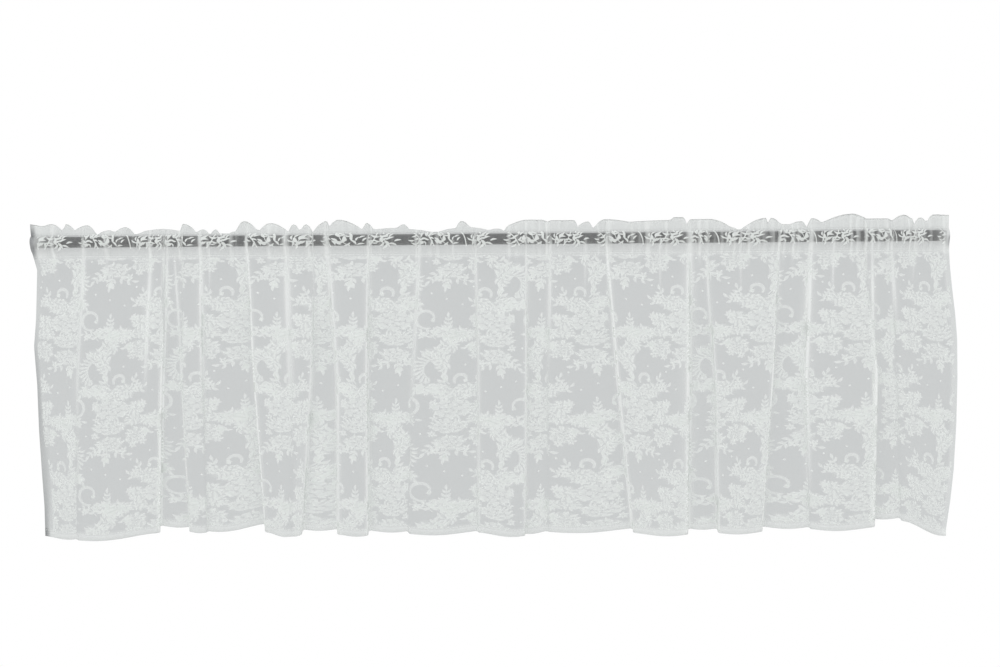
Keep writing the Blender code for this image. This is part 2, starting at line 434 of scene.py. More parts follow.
class Fold(NamedTuple):
    """One steep fold between two flat panels."""

    top: float  # place along the rod at the pocket
    middle: float  # place at the middle level
    hem: float  # place at the hem
    half: float  # half the fold's width
    back: float  # how far the cloth doubles back under itself, 0 for none
    near_left: float  # how far the cloth stands towards the room, left of the fold
    near_right: float  # and right of it
    drop_left: float  # level of the hem left of the fold
    drop_right: float  # and right of it


FOLDS = (
    #    top middle   hem half back near_left near_right drop_left drop_right
    Fold(69, 59, 58, 5, 0.5, 5, 11, -427, -428),
    Fold(184, 176, 171.5, 6, 7, 10, -8, -419, -410),
    Fold(210, 208, 217, 3.5, 1.2, -9, 4, -412, -418),
    Fold(236, 237, 242, 3.5, 1.0, 5, -5, -419, -418),
    Fold(303, 311, 326, 4, 1.6, -11, 9, -409, -419),
    Fold(360, 366, 364, 5, 0.8, 11, 8, -425, -425),
    Fold(398, 395, 379, 3.5, 1.2, 7, -8, -424, -417),
    Fold(419, 431, 430, 5, 2.0, -9, 10, -417, -423),
    Fold(477, 474, 474, 3.5, 1.5, 10, -6, -425, -419),
    Fold(551, 539, 532, 4, 0.8, -3, 5, -420, -423),
    Fold(631, 634, 632, 4, 1.0, -7, 4, -421, -422),
    Fold(704, 703, 699, 3.5, 1.4, 8, -4, -427, -425),
    Fold(739, 734, 733, 4, 0.8, -6, 3, -422, -422),
    Fold(819, 834, 854, 4, 1.8, -8, 7, -419, -424),
    Fold(939, 937, 933, 4.5, 1.8, 9, -8, -427, -420),
    Fold(965, 974, 976, 3.5, 1.3, -7, 8, -420, -425),
    Fold(1067, 1057, 1040, 4, 1.8, 8, -8, -424, -418),
    Fold(1112, 1104, 1109, 4.5, 1.8, -6, 3, -419, -421),
    Fold(1191, 1204, 1198, 4.5, 5.5, 6, -11, -419, -408),
    Fold(1231, 1238, 1241, 3.5, 1.0, -9, -3, -407, -411),
)
END_NEAR = (2.0, 9.0)  # how far the left and right side edges stand towards the room
END_DROP = (-422.0, -431.0)  # and their levels at the hem
FOLD_TABLE = np.array(FOLDS, float)
LAST_KNOT = 2 * len(FOLDS)  # the last fold's right side; the right edge is one further

# The side edges: level, place of the left one, place of the right one.
SIDE_EDGES = np.array(
    [
        (-422, 10, 1302), (-378, 9, 1309), (-335, 6, 1314), (-270, 2, 1318), (-205, 0, 1320),
        (-150, -4, 1320), (-112, -1, 1318), (-40, 1, 1312), (-11, -7, 1311), (28, -8, 1311),
    ],
    float,
)  # fmt: skip


class Crease(NamedTuple):
    """One bright line down the cloth, where it is bunched or turned edge on."""

    top: float  # place along the rod at its upper end
    middle: float  # place at the middle level
    foot: float  # place at its lower end
    high: float  # level of its upper end
    low: float  # level of its lower end
    half: float  # half its width
    layers_top: float  # layers of cloth bunched in it, at its upper end
    layers_foot: float  # and at its lower end
    ridge: float  # how far it stands towards the room

    def centre(self, level: np.ndarray | float) -> np.ndarray:
        """Its place at levels: straight from end to end, by way of the middle level's place
        where it reaches down to that.

        Args:
            level: Levels, in any shape.

        Returns:
            Places along the rod, in that shape.
        """
        nodes = [(self.low, self.foot), (MIDDLE_LEVEL, self.middle), (self.high, self.top)]
        if self.low > MIDDLE_LEVEL:
            del nodes[1]
        return read(np.array(nodes), level)


CREASES = (
    #      top middle foot  high   low half layers_top layers_foot ridge
    Crease(18, 18, 18, -32, -60, 1.6, 3.0, 1.0, 0.8),
    Crease(69, 59, 58, -8, -330, 2.4, 5.0, 1.0, 0.6),
    Crease(165, 157, 156, -8, -230, 2.6, 4.2, 3.6, 1.2),
    Crease(190, 180, 174.5, 12, -425, 1.5, 4.0, 6.0, 0.3),
    Crease(199, 206, 217, -30, -425, 1.6, 3.0, 3.0, 0.5),
    Crease(236, 237, 240, 12, -290, 2.2, 8.0, 1.5, 0.8),
    Crease(249, 248, 248, -8, -90, 1.3, 4.0, 0.5, 1.0),
    Crease(303, 312, 326, -8, -425, 1.8, 6.0, 8.0, 0.4),
    Crease(358, 365, 366, 12, -330, 4.0, 4.0, 1.0, 1.0),
    Crease(398, 394, 379, -90, -425, 1.8, 3.0, 5.0, 0.4),
    Crease(417, 431, 430, 4, -425, 3.2, 5.0, 3.0, 0.8),
    Crease(477, 474, 474, -8, -425, 1.7, 6.0, 6.0, 0.4),
    Crease(551, 539, 534, -8, -290, 2.4, 4.5, 1.0, 0.8),
    Crease(599, 598, 598, -8, -62, 1.6, 3.5, 0.5, 0.8),
    Crease(631, 634, 632, -8, -425, 1.8, 2.5, 2.5, 0.6),
    Crease(704, 703, 699, -30, -425, 1.6, 4.5, 3.5, 0.5),
    Crease(739, 734, 732, -8, -230, 2.0, 4.5, 1.0, 0.8),
    Crease(789, 788, 788, -8, -90, 1.8, 3.5, 0.5, 0.8),
    Crease(819, 834, 854, -8, -425, 1.5, 8.0, 5.0, 0.4),
    Crease(896, 896, 896, -8, -92, 1.4, 4.5, 0.5, 1.0),
    Crease(939, 937, 933, 12, -425, 4.2, 6.0, 6.0, 1.4),
    Crease(963, 974, 976, -34, -425, 1.8, 3.0, 4.0, 0.5),
    Crease(1012, 1012, 1012, 4, -92, 1.5, 4.5, 0.5, 1.0),
    Crease(1067, 1057, 1040, -8, -425, 1.8, 8.0, 6.0, 0.4),
    Crease(1114, 1104, 1109, 10, -400, 3.2, 7.0, 4.0, 1.0),
    Crease(1146, 1144, 1143, -8, -100, 1.6, 5.0, 0.5, 1.0),
    Crease(1200, 1206, 1200, 12, -425, 2.0, 4.5, 7.0, 0.3),
    Crease(1228, 1236, 1238, -8, -150, 2.0, 5.0, 1.0, 0.6),
    Crease(1263, 1260, 1259, 16, -80, 1.8, 6.0, 1.0, 1.0),
)
# How the left side edge rolls under: level, strength from 0 flat to 1 right under, and width
# on the flat cloth.
ROLLS = np.array(
    [
        (-425, 0.9, 11), (-402, 0.9, 13), (-363, 0.77, 18), (-306, 0.66, 22), (-234, 0.8, 10.5),
        (-162, 0.7, 9.5), (-105, 0.2, 6), (-43, 0.2, 6), (-22, 0.6, 6), (-10, 1.2, 8),
        (10, 1.1, 8), (19, 0.7, 6), (26, 0.3, 6),
    ],
    float,
)  # fmt: skip

# The ruffle's wavy upper edge: place, level. A lobe rises between a low mark and a high one.
RUFFLE_EDGE = np.array(
    [
        (-8, 26), (12, 23), (26, 26), (39, 15), (45, 26), (55, 17), (74, 24), (86, 10),
        (104, 17), (112, 14), (128, 21), (142, 9), (160, 16), (181, 18), (206, 15),
        (212, 25), (230, 13), (240, 17), (249, 9), (258, 17), (263, 8), (272, 8),
        (286, 14), (299, 28), (319, 14), (337, 25), (362, 13), (370, 23), (379, 13),
        (388, 23), (397, 12), (417, 27), (421, 20), (435, 29), (469, 15), (475, 24),
        (485, 15), (518, 17), (529, 22), (535, 15), (574, 10), (603, 16), (611, 26),
        (624, 17), (650, 13), (663, 15), (673, 12), (680, 20), (706, 27), (725, 27),
        (735, 24), (742, 26), (773, 26), (778, 17), (793, 24), (800, 14), (818, 27),
        (852, 23), (912, 25), (915, 29), (929, 29), (935, 19), (941, 26), (968, 26),
        (1000, 14), (1011, 10), (1049, 27), (1051, 18), (1056, 27), (1071, 18),
        (1084, 18), (1099, 22), (1108, 14), (1115, 26), (1129, 20), (1172, 32),
        (1192, 25), (1221, 25), (1230, 22), (1247, 30), (1257, 25), (1262, 16),
        (1270, 26), (1280, 19), (1289, 30), (1311, 29),
    ],
    float,
)  # fmt: skip

# Along the rod, the scroll rings of the pattern's first row, at that row's level.
RING_PLACES = (83, 204, 319, 428, 565, 704, 828, 957, 1081, 1208)
RING_LEVEL = -114.0
REPEAT = 150.0  # one repeat of the pattern on the flat cloth
# Slow slanting waves of the panels: height, and how far a radian of them is, across and down.
SWAYS = ((1.3, 23.0, 70.0), (0.8, 9.0, -110.0))


@dataclass(frozen=True)
class Strip:
    """Rows of the cloth, one value a row, from the hem's raw edge to the pocket's."""

    hem: np.ndarray  # share of the hem's level in the row's level
    ruffle: np.ndarray  # share of the ruffle's level
    level: np.ndarray  # and what is added to them
    spread: np.ndarray  # behind (+) or in front of (-) the middle plane
    wave: np.ndarray  # depth of the gathers there
    bulge: np.ndarray  # how much of the pocket's ripple is added to the spread
    flat: np.ndarray  # place down the flat cloth, 0 at the lower stitches, + to the hem

    def front(self) -> np.ndarray:
        """True for rows on the room side, as a column of values."""
        return ((self.spread < 0) | (self.hem > 0))[:, None]


class Swell(NamedTuple):
    """Layers that are added round a level or a place along the rod."""

    most: float
    middle: float
    width: float

    def at(self, place: np.ndarray) -> np.ndarray:
        """The layers at each place: the most, times a bell of its width round its middle."""
        return self.most * bell(place - self.middle, self.width)


@dataclass(frozen=True)
class Bunching:
    """Layers of net that each stretch of the panel adds to its own one, and its levels."""

    ruffle: float = 2.0
    ruffle_foot: float = 8.5
    ruffle_edge: float = 4.0  # along the ruffle's own fold
    sleeve: float = 0.5  # over the rod
    sleeve_low: float = -9.5
    sleeve_foot: Swell = Swell(1.1, -6.6, 2.2)  # where it curves away below
    sleeve_head: Swell = Swell(0.8, 8.0, 1.8)  # and above
    band: float = 1.3  # between the rod and just below the lower stitches
    band_top: float = -8.5
    band_foot: float = -25.5
    # painted shade: fewer layers of net under the heading, so that strip reads darker
    shaded: Swell = Swell(-0.3, -38.0, 17.0)  # the strip that the heading shades reads thinner
    left_mouth: Swell = Swell(4.0, 6.0, 12.0)  # the pocket's two mouths
    right_mouth: Swell = Swell(1.8, 1300.0, 6.0)
    mouth_foot: float = -26.0
    rolled_and_shaded: float = 6.5
    selvage: float = 2.6
    hem_foot: float = 1.7  # the hem's second layer, at its fold
    hem_head: float = 3.1  # and at its raw edge
    most_packed: float = 3.2


@dataclass
class HungCloth:
    """The one sheet of net, laid from its flat grid into its hung shape.

    A column is numbered by its station: a knot's number plus a share of the way to the
    next knot. Knots are the left edge, the two sides of each fold and the right edge.
    """

    layer_half: float = 1.2  # half the gap between the ruffle's two layers
    low_stitch: float = -21.0
    top_stitch: float = 10.6
    hem_level: float = -415.0  # a typical one, to lay the folds out with
    crease_core: float = 0.95  # a crease's rounded bar
    crease_shoulder: float = 0.17  # and its shoulders,
    shoulder_width: float = 2.4  # so much wider than the bar
    crease_fuller: float = 1.3  # how much more it holds below the heading
    crease_head: float = 12.0  # over which it fades in at its upper end
    crease_foot: float = 60.0  # and, at the least, out at its lower one
    sway: float = 0.6  # share of the panels' slow waves
    fold_growth: float = 130.0  # folds reach full depth this far below the pocket
    fold_at_top: float = 0.55  # share of its width that a fold has at the pocket
    fold_take: float = 2.2  # how much more cloth lies in the middle of a fold
    belly: float = 3.5  # how far a wide panel's hem hangs lower in its middle
    wide_panel: float = 80.0
    pocket_radius: float = 9.35
    pocket_ripple: float = 1.3
    gather_depth: float = 1.5  # of the stitched heading
    ruffle_depth: float = 3.0  # and how much more at the ruffle's edge
    lowest_ruffle: float = 11.0
    typical_ruffle: float = 24.0
    hem_depth: float = 12.0
    hem_band: float = 9.0  # its height as drawn
    hem_spread: float = 0.35  # from the middle plane to its layers
    tail: float = 3.5  # of the cloth behind, below the stitches
    flat_drop: float = 398.0  # lower stitches to hem fold, flat
    front_rows: int = 72
    column_step: float = 3.35
    crease_step: float = 0.9
    selvage_width: float = 8.5
    edge_stretch: float = 1.05  # of the pattern outside the outer rings
    streaks: int = 118  # fine gathers of the heading
    seed: int = 11
    bunching: Bunching = field(default_factory=Bunching)
    strip: Strip = field(init=False)
    stations: np.ndarray = field(init=False)
    home: np.ndarray = field(init=False)  # each column's place at the lower stitches
    points: np.ndarray = field(init=False)
    normals: np.ndarray = field(init=False)
    along: np.ndarray = field(init=False)  # each column's place along the flat cloth
    bunch: np.ndarray = field(init=False)

    def __post_init__(self) -> None:
        """Works out rows, columns, places, normals, flat places and layers."""
        self.strip = self.rows()
        self.stations = self.columns()
        self.home = self.place(self.stations, np.full((1, 1), self.low_stitch))[0]
        self.points = self.laid()
        normals = np.cross(np.gradient(self.points, axis=1), np.gradient(self.points, axis=0))
        self.normals = normals / np.linalg.norm(normals, axis=2, keepdims=True)
        self.along = self.flat_along()
        self.bunch = self.layers()

    # -- the plan: where a station is at a level

    def grown(self, level: np.ndarray | float) -> np.ndarray:
        """Share of its depth that a fold has: eased from 0 at the stitches to 1 far below."""
        return ease((self.low_stitch - level) / self.fold_growth)

    def knots(self, station: np.ndarray) -> np.ndarray:
        """Number of the knot at or left of each station; an odd one is a fold's left side."""
        return np.minimum(station.astype(int), LAST_KNOT)

    def knot_place(self, knot: np.ndarray, level: np.ndarray) -> np.ndarray:
        """Place of knots at levels: a fold's centre, straight from pocket to middle level and
        on to the hem, less or plus half its width; the first and last are the side edges.

        Args:
            knot: Knot numbers, one a column.
            level: Levels, rows x columns or rows x 1.

        Returns:
            Places along the rod, rows x columns.
        """
        top, middle, hem, half = FOLD_TABLE[np.clip((knot - 1) // 2, 0, len(FOLDS) - 1), :4].T
        up = np.clip((level - MIDDLE_LEVEL) / (self.low_stitch - MIDDLE_LEVEL), 0, 1)
        down = np.clip((MIDDLE_LEVEL - level) / (MIDDLE_LEVEL - self.hem_level), 0, 1.1)
        centre = middle + (top - middle) * up + (hem - middle) * down
        half = half * (self.fold_at_top + (1 - self.fold_at_top) * self.grown(level))
        place = centre + np.where(knot % 2 == 1, -half, half)
        place = np.where(knot == 0, read(SIDE_EDGES, level, 1), place)
        return np.where(knot > LAST_KNOT, read(SIDE_EDGES, level, 2), place)

    def place(self, station: np.ndarray, level: np.ndarray) -> np.ndarray:
        """Place along the rod: straight from knot to knot, and across a fold a sine wave of
        its doubling back is added, which turns a lap into an S.

        Args:
            station: Stations, one a column.
            level: Levels, rows x columns or rows x 1.

        Returns:
            Places, rows x columns.
        """
        knot = self.knots(station)
        share = station - knot
        left, right = self.knot_place(knot, level), self.knot_place(knot + 1, level)
        back = FOLD_TABLE[np.clip((knot - 1) // 2, 0, len(FOLDS) - 1), 4]
        turn = self.grown(level) ** 2 * back * np.sin(2 * math.pi * share)
        return left + (right - left) * share + np.where(knot % 2 == 1, turn, 0.0)

    def eased(self, station: np.ndarray, left: int, right: int, ends: Pair) -> np.ndarray:
        """A value of the panels, eased across each fold from one panel to the next.

        Args:
            station: Stations, one a column.
            left: Column of the fold table for the value left of a fold.
            right: And for the value right of it.
            ends: The values at the two side edges.

        Returns:
            Values, one a station.
        """
        values = np.concatenate([ends[:1], FOLD_TABLE[:, [left, right]].ravel(), ends[1:]])
        knot = self.knots(station)
        return values[knot] + (values[knot + 1] - values[knot]) * ease(station - knot)

    def near(self, station: np.ndarray) -> np.ndarray:
        """How far the cloth stands towards the room far below the pocket."""
        return self.eased(station, 5, 6, END_NEAR)

    def hem_line(self) -> np.ndarray:
        """Level of the hem's fold: eased from knot to knot, less a belly in wide panels.

        Returns:
            Levels, one a column.
        """
        knot = self.knots(self.stations)
        level = np.full((1, 1), self.hem_level)
        width = (self.knot_place(knot + 1, level) - self.knot_place(knot, level))[0]
        width = np.minimum(width / self.wide_panel, 1.0)
        belly = self.belly * width * np.sin(math.pi * (self.stations - knot))
        return self.eased(self.stations, 7, 8, END_DROP) - np.where(knot % 2 == 0, belly, 0.0)

    def crease_fields(self, place: np.ndarray, level: np.ndarray) -> tuple[np.ndarray, np.ndarray]:
        """Layers and ridge height that the creases add.

        Each crease is a rounded bar across its width, a bell of the distance to the power
        of three, with a wider weaker bell as its shoulders. It holds more cloth below the
        heading, and fades in and out at its ends, but for one that runs on into the hem.

        Args:
            place: Places along the rod, rows x columns.
            level: Their levels.

        Returns:
            Added layers and the ridge towards the room, rows x columns each.
        """
        layers, ridge = np.zeros(place.shape), np.zeros(place.shape)
        fuller = 1 + self.crease_fuller * ease((self.low_stitch - level) / 60.0)
        for crease in CREASES:
            apart = np.abs((place - crease.centre(level)) / crease.half)
            shoulders = self.crease_shoulder * bell(apart, self.shoulder_width)
            bar = self.crease_core * np.exp(-(apart**3)) + shoulders
            bar = bar * ease((crease.high - level) / self.crease_head + 1.0)
            length = crease.high - crease.low
            if crease.low > self.hem_level:
                bar = bar * ease((level - crease.low) / max(self.crease_foot, 0.5 * length))
            share = np.clip((crease.high - level) / length, 0, 1)
            depth = crease.layers_top + (crease.layers_foot - crease.layers_top) * share
            layers += bar * depth * fuller
            ridge += bar * crease.ridge
        return layers, ridge

    # -- rows and columns

    def sleeve(self) -> np.ndarray:
        """The pocket's room side in profile, from the lower stitches to the top ones: a line
        that touches the rod's sleeve, its circle, and another line that touches it.

        Returns:
            Distances from the middle plane, and levels, n x 2.
        """
        corners = []
        for level in (self.low_stitch, self.top_stitch):
            lean = math.atan2(level, self.layer_half)
            turn = math.acos(self.pocket_radius / math.hypot(self.layer_half, level))
            corners.append(lean - math.copysign(turn, level))
        circle = self.pocket_radius * unit(np.degrees(np.linspace(*corners, 9)))
        start, end = [self.layer_half, self.low_stitch], [self.layer_half, self.top_stitch]
        foot = start + (circle[0] - start) * np.linspace(0, 1, 5)[1:-1, None]
        head = circle[-1] + (end - circle[-1]) * np.linspace(0, 1, 4)[1:, None]
        return np.concatenate([foot, circle, head])

    def rows(self) -> Strip:
        """All rows: the hem's tail and fold, the front, the pocket's and ruffle's room side,
        their back, and the tail below the stitches.

        The front runs straight from the hem to the lower stitches, closer together there.
        The ruffle's two layers close in as they rise.

        Returns:
            The rows.
        """
        half, deep, hem = self.layer_half, self.gather_depth, self.hem_spread

        def stack(*values: np.ndarray | float) -> np.ndarray:
            """Rows from their hem, ruffle, level, spread, wave and bulge."""
            return np.stack(np.broadcast_arrays(*values), axis=1)

        raised = np.array([self.hem_depth, 0.6 * self.hem_depth, 1.6, 0.3])
        turned_up = stack(1.0, 0.0, raised, [hem, hem, hem, 0.1], 0.0, 0.0)
        share = np.linspace(1.0, 0.0, self.front_rows) ** 1.15
        level = self.low_stitch * (1 - share)
        below = self.low_stitch - share * self.hem_level - level
        spread = (half - hem) * ease(below / 60.0) - half
        wave = deep * ease(1.0 - below / 70.0)
        front = stack(share, 0.0, level + 0.5 * (share == 1.0), spread, wave, 0.0)
        spread, level = self.sleeve().T
        close = bell(level - self.low_stitch, 6.0) + bell(level - self.top_stitch, 3.0)
        out = np.maximum(spread / self.pocket_radius, 0.0) ** 2
        pocket = stack(0.0, 0.0, level, spread, deep * np.minimum(close, 1.0), out)
        up = np.linspace(0, 1, 7)[1:]
        wave = deep + self.ruffle_depth * up
        rise = stack(0.0, up, self.top_stitch * (1 - up), half * (1 - 0.8 * up), wave, 0.0)
        back = np.concatenate([pocket, rise])
        room = back * [1, 1, 1, -1, 1, -1]
        tail = stack(0.0, 0.0, [self.low_stitch, self.low_stitch - self.tail], half, deep, 0.0)
        table = np.concatenate([turned_up, front, room, back[-2::-1], tail])
        hem, ruffle, level, spread = table.T[:4]
        typical = hem * (self.low_stitch - self.flat_drop) + ruffle * self.typical_ruffle + level
        flat = summed(np.hypot(np.diff(typical), np.diff(spread)))
        return Strip(*table.T, flat[len(turned_up) + self.front_rows - 1] - flat)

    def columns(self) -> np.ndarray:
        """Stations of the columns: evenly along the cloth, closer together at creases.

        A very fine run of stations is weighed by its length times the columns wanted per
        length, at three levels, summed up, and cut into equal parts.

        Returns:
            Stations, from 0 to the right edge's.
        """
        fine = np.linspace(0.0, LAST_KNOT + 1, 16001)
        weight = np.zeros(len(fine) - 1)
        for level in (-60.0, -220.0, -400.0):
            place = self.place(fine, np.full((1, 1), level))[0]
            step = np.hypot(np.diff(place), np.diff(self.near(fine) * self.grown(level)))
            creased = np.zeros(len(step))
            for crease in CREASES:
                if crease.low < level < crease.high:
                    creased += bell(place[1:] - crease.centre(level), crease.half + 2.0)
            closer = np.minimum(creased, 1.0) * (1 / self.crease_step - 1 / self.column_step)
            weight = np.maximum(weight, step * (1 / self.column_step + closer))
        total = summed(weight)
        return np.interp(np.linspace(0, total[-1], int(total[-1]) + 1), total, fine)

    def ruffle_line(self) -> np.ndarray:
        """Level of the ruffle's edge: a quarter sine wave from each lower mark up to its
        higher neighbour, so that lobes are round and dips are sharp.

        Returns:
            Levels, one a column.
        """
        marks = RUFFLE_EDGE
        place = np.clip(self.home, marks[0, 0], marks[-1, 0] - 0.01)
        at = np.searchsorted(marks[:, 0], place, side="right") - 1
        (start, first), (end, second) = marks[at].T, marks[at + 1].T
        share = (place - start) / (end - start)
        low, high = np.minimum(first, second), np.maximum(first, second)
        rise = np.sin(0.5 * math.pi * np.where(second > first, share, 1 - share))
        return np.maximum(low + (high - low) * rise, self.lowest_ruffle)

    def gathers(self) -> np.ndarray:
        """Side-to-side wave of the gathered heading, from -1 (room side) to 1.

        High lobes of the ruffle stand forward and dips fall back; finer waves of 6 to 17
        wavelength, with seeded phases, ride on that.

        Returns:
            Waves, one a column.
        """
        lobe = -np.clip((read(RUFFLE_EDGE, self.home) - 19.0) / 8.0, -1, 1)
        chance = np.random.default_rng(self.seed)
        fine = np.zeros(len(self.home))
        for wavelength in (6.3, 8.9, 12.4, 17.1):
            drift = np.interp(self.home, np.linspace(-10, 1330, 60), chance.uniform(0, 6.3, 60))
            fine += np.sin(2 * math.pi * self.home / wavelength + 0.35 * drift) * wavelength / 60.0
        return np.clip(0.75 * lobe + fine, -1.2, 1.2)

    def streak_layers(self) -> np.ndarray:
        """Layers that fine gathers add to the heading: many narrow bells at seeded places.

        Returns:
            Layers, one a column.
        """
        chance = np.random.default_rng(self.seed + 1)
        at = np.linspace(-4, 1308, self.streaks) + chance.uniform(-5, 5, self.streaks)
        strength = chance.uniform(0, 1, self.streaks) ** 2.2 * 8.5
        half = chance.uniform(0.7, 2.2, self.streaks)
        bars = strength[:, None] * bell(self.home - at[:, None], half[:, None])
        return bars.sum(axis=0)

    # -- the sheet itself

    def laid(self) -> np.ndarray:
        """Places of the whole sheet.

        Level is the row's mix of hem and ruffle levels. The plan gives the place along the
        rod and the depth; the gathers' wave and the creases' ridges are added to the depth,
        and the row's spread and bulge along the level normal.

        Returns:
            Places, rows x columns x 3.
        """
        row = self.strip
        level = row.hem[:, None] * self.hem_line() + row.ruffle[:, None] * self.ruffle_line()
        level = level + row.level[:, None]
        place = self.place(self.stations, level)
        grown = self.grown(level)
        wave = self.gathers()
        sway = sum(high * np.sin(place / across + level / down) for high, across, down in SWAYS)
        depth = (self.sway * sway - self.near(self.stations)) * grown + row.wave[:, None] * wave
        below = ease((self.low_stitch - level) / 40.0)
        ridge = self.crease_fields(place, level)[1]
        depth = depth - ridge * np.where(row.front(), below, 0.0)
        run = np.gradient(np.stack([place, depth], axis=2), axis=1)
        run /= np.linalg.norm(run, axis=2, keepdims=True) + 1e-9
        spread = row.spread[:, None] + row.bulge[:, None] * self.pocket_ripple * (1 - wave) / 2
        return np.stack([place - run[:, :, 1] * spread, depth + run[:, :, 0] * spread, level], axis=2)

    def taken(self) -> np.ndarray:
        """Flat cloth used up for each length that shows: 1 on the panels, more inside a
        fold, by half a sine wave squared across it.

        Returns:
            Ratios, one a column.
        """
        knot = self.knots(self.stations)
        inside = np.sin(math.pi * (self.stations - knot)) ** 2
        return 1.0 + np.where(knot % 2 == 1, self.fold_take * inside, 0.0)

    def flat_along(self) -> np.ndarray:
        """Place of each column along the flat cloth: its arc length at the first row of
        rings with what the folds take, stretched so that the rings come out one repeat
        apart.

        Returns:
            Places, one a column, 0 at the first ring.
        """
        row = int(np.argmin(np.abs(self.points[:, :, 2].mean(axis=1) - RING_LEVEL)))
        line = self.points[row]
        arc = summed(np.linalg.norm(np.diff(line, axis=0), axis=1) * self.taken()[1:])
        known = np.interp(RING_PLACES, np.maximum.accumulate(line[:, 0]), arc)
        repeats = REPEAT * np.arange(len(known))
        before, after = np.minimum(arc - known[0], 0.0), np.maximum(arc - known[-1], 0.0)
        return np.interp(arc, known, repeats) + self.edge_stretch * (before + after)

    def layers(self) -> np.ndarray:
        """Layers bunched at each point: how much more flat cloth there is than surface, plus
        creases, plus the heading's fine gathers, which fade below the stitches, plus what
        each stretch of the panel adds. Each stretch is eased in and out at its levels.

        Returns:
            Layers, rows x columns.
        """
        row, adds = self.strip, self.bunching
        place, level = self.points[:, :, 0], self.points[:, :, 2]
        run = np.linalg.norm(np.gradient(self.points, axis=1), axis=2)
        packed = np.gradient(self.along) / self.taken() / np.maximum(run, 1e-6)
        # painted shade: the strip under the heading loses layers and reads darker
        total = np.clip(packed, 1.0, adds.most_packed) + adds.shaded.at(level)
        ruffle = ease((level - adds.ruffle_foot) / 3.0)
        open_edge = 1 - 0.6 * ruffle
        below = np.maximum(self.low_stitch - level, 0)
        total = total + self.streak_layers() * np.exp(-below / 10.0) * (1 + 0.1 * ruffle)
        lines = self.crease_fields(place, level)[0] * open_edge
        total = total + np.where(row.front(), lines, 0.0) + adds.ruffle * ruffle
        band = ease((adds.band_top - level) / 4.5) * ease((level - adds.band_foot) / 2.0)
        over_rod = ease((level - adds.sleeve_low) / 2.0) * (1 - ruffle) * (row.hem[:, None] == 0.0)
        sleeve = adds.sleeve + adds.sleeve_foot.at(level) + adds.sleeve_head.at(level)
        total = total + adds.band * band + sleeve * over_rod
        mouths = adds.left_mouth.at(self.home) + adds.right_mouth.at(self.home)
        total = total + mouths * ease((level - adds.mouth_foot) / 6.0) * open_edge
        total = total + adds.rolled_and_shaded * self.rolled_and_shaded() + adds.selvage * self.selvage()
        over = level - self.hem_line()
        hem = row.front() & (row.hem[:, None] > 0.5) & (over < self.hem_band + 1.0)
        doubled = adds.hem_foot + (adds.hem_head - adds.hem_foot) * np.clip(over / self.hem_band, 0, 1)
        doubled = doubled - adds.hem_head * ease(over - self.hem_band)
        total = total + np.where(hem, np.maximum(doubled, 0.0), 0.0)
        return total + adds.ruffle_edge * ease((row.ruffle - 0.7) / 0.3)[:, None]

    def rolled_and_shaded(self) -> np.ndarray:
        """How far each point lies in a rolled edge: on the left the strength from the table
        of rolls, less the square of the share of its width; on the right only the mouth of
        the pocket, where the rod's end lies in shade.

        Returns:
            Strengths, rows x columns, a little above 1 where the roll is tight.
        """
        level = self.points[:, :, 2]
        share = (self.along - self.along[0]) / read(ROLLS, level, 2)
        left = read(ROLLS, level, 1) * np.clip(1 - share**2, 0, 1)
        # painted shade: where this is high, the net's finish turns grey
        return left + 1.5 * bell(level + 7.0, 7.0) * ease(1 - (self.along[-1] - self.along) / 5.5)

    def selvage(self) -> np.ndarray:
        """How far each column lies in the closer-knit right edge: 1 there, 0 inside."""
        return ease((self.selvage_width - (self.along[-1] - self.along)) / 1.5)

    def on(self, flat: np.ndarray, lift: np.ndarray) -> np.ndarray:
        """Lays flat places onto the hung cloth, between its grid's points.

        Args:
            flat: n x 2 places along and down the flat cloth.
            lift: How far each stands off the cloth's outer side.

        Returns:
            n x 3 places in the shared frame, in millimetres.
        """
        column = np.interp(flat[:, 0], self.along, np.arange(len(self.along)))
        row = np.interp(-flat[:, 1], -self.strip.flat, np.arange(len(self.strip.flat)))
        near = np.minimum(column.astype(int), len(self.along) - 2)
        low = np.minimum(row.astype(int), len(self.strip.flat) - 2)
        across, up = (column - near)[:, None], (row - low)[:, None]

        def between(grid: np.ndarray) -> np.ndarray:
            """Straight between the four grid points around each place."""
            below = grid[low, near] * (1 - across) + grid[low, near + 1] * across
            above = grid[low + 1, near] * (1 - across) + grid[low + 1, near + 1] * across
            return below * (1 - up) + above * up

        return between(self.points) + between(self.normals) * lift[:, None]


# --------------------------------------------------------------------------- lace figures

WEB_CELL = 3.0  # side of a square of the open filling
ROSE_GAP = 1.1  # width of the open line between a rose's petals
# Rings of a rose, outermost first: petals, inner reach, outer reach.
ROSE_RINGS = ((7, 0.62, 1.0), (5, 0.32, 0.64), (3, 0.06, 0.34))


class Work(Enum):
    """How closely a figure is filled."""

    DENSE = "dense"  # spots and the heading's vine
    LEAF = "leaf"  # leaves, buds and stars
    PETAL = "petal"  # roses, scrolls and stems
    WEB = "web"  # the open filling between them


class Twig(NamedTuple):
    """A bowed stem with leaves, and where it grows in its figure."""

    across: float
    up: float
    heading: float  # in degrees
    length: float  # foot to end leaf
    bend: float  # how far it bows to its left
    pairs: int  # leaves on each side
    leaf: float  # length of the longest leaves


class Filling(NamedTuple):
    """How a body is packed with leaves."""

    pitch: float  # distance between leaves
    leaf: float  # their length
    slim: float  # their width as a share of their length


class Lay(NamedTuple):
    """Lace shapes laid out on the flat cloth."""

    flat: np.ndarray  # n x 2 places along and down it
    lift: np.ndarray  # n heights above the figure's own base
    faces: np.ndarray  # m x 4 numbers of points


def within(spot: np.ndarray, shapes: np.ndarray) -> np.ndarray:
    """Finds the places that lie in any of some ellipses.

    Args:
        spot: n x 2 places.
        shapes: m x 4 ellipses: centre across and up, half width and half height.

    Returns:
        n values, True inside.
    """
    far = (spot[:, None, :] - shapes[None, :, :2]) / shapes[None, :, 2:]
    return ((far**2).sum(axis=2) < 1).any(axis=1)


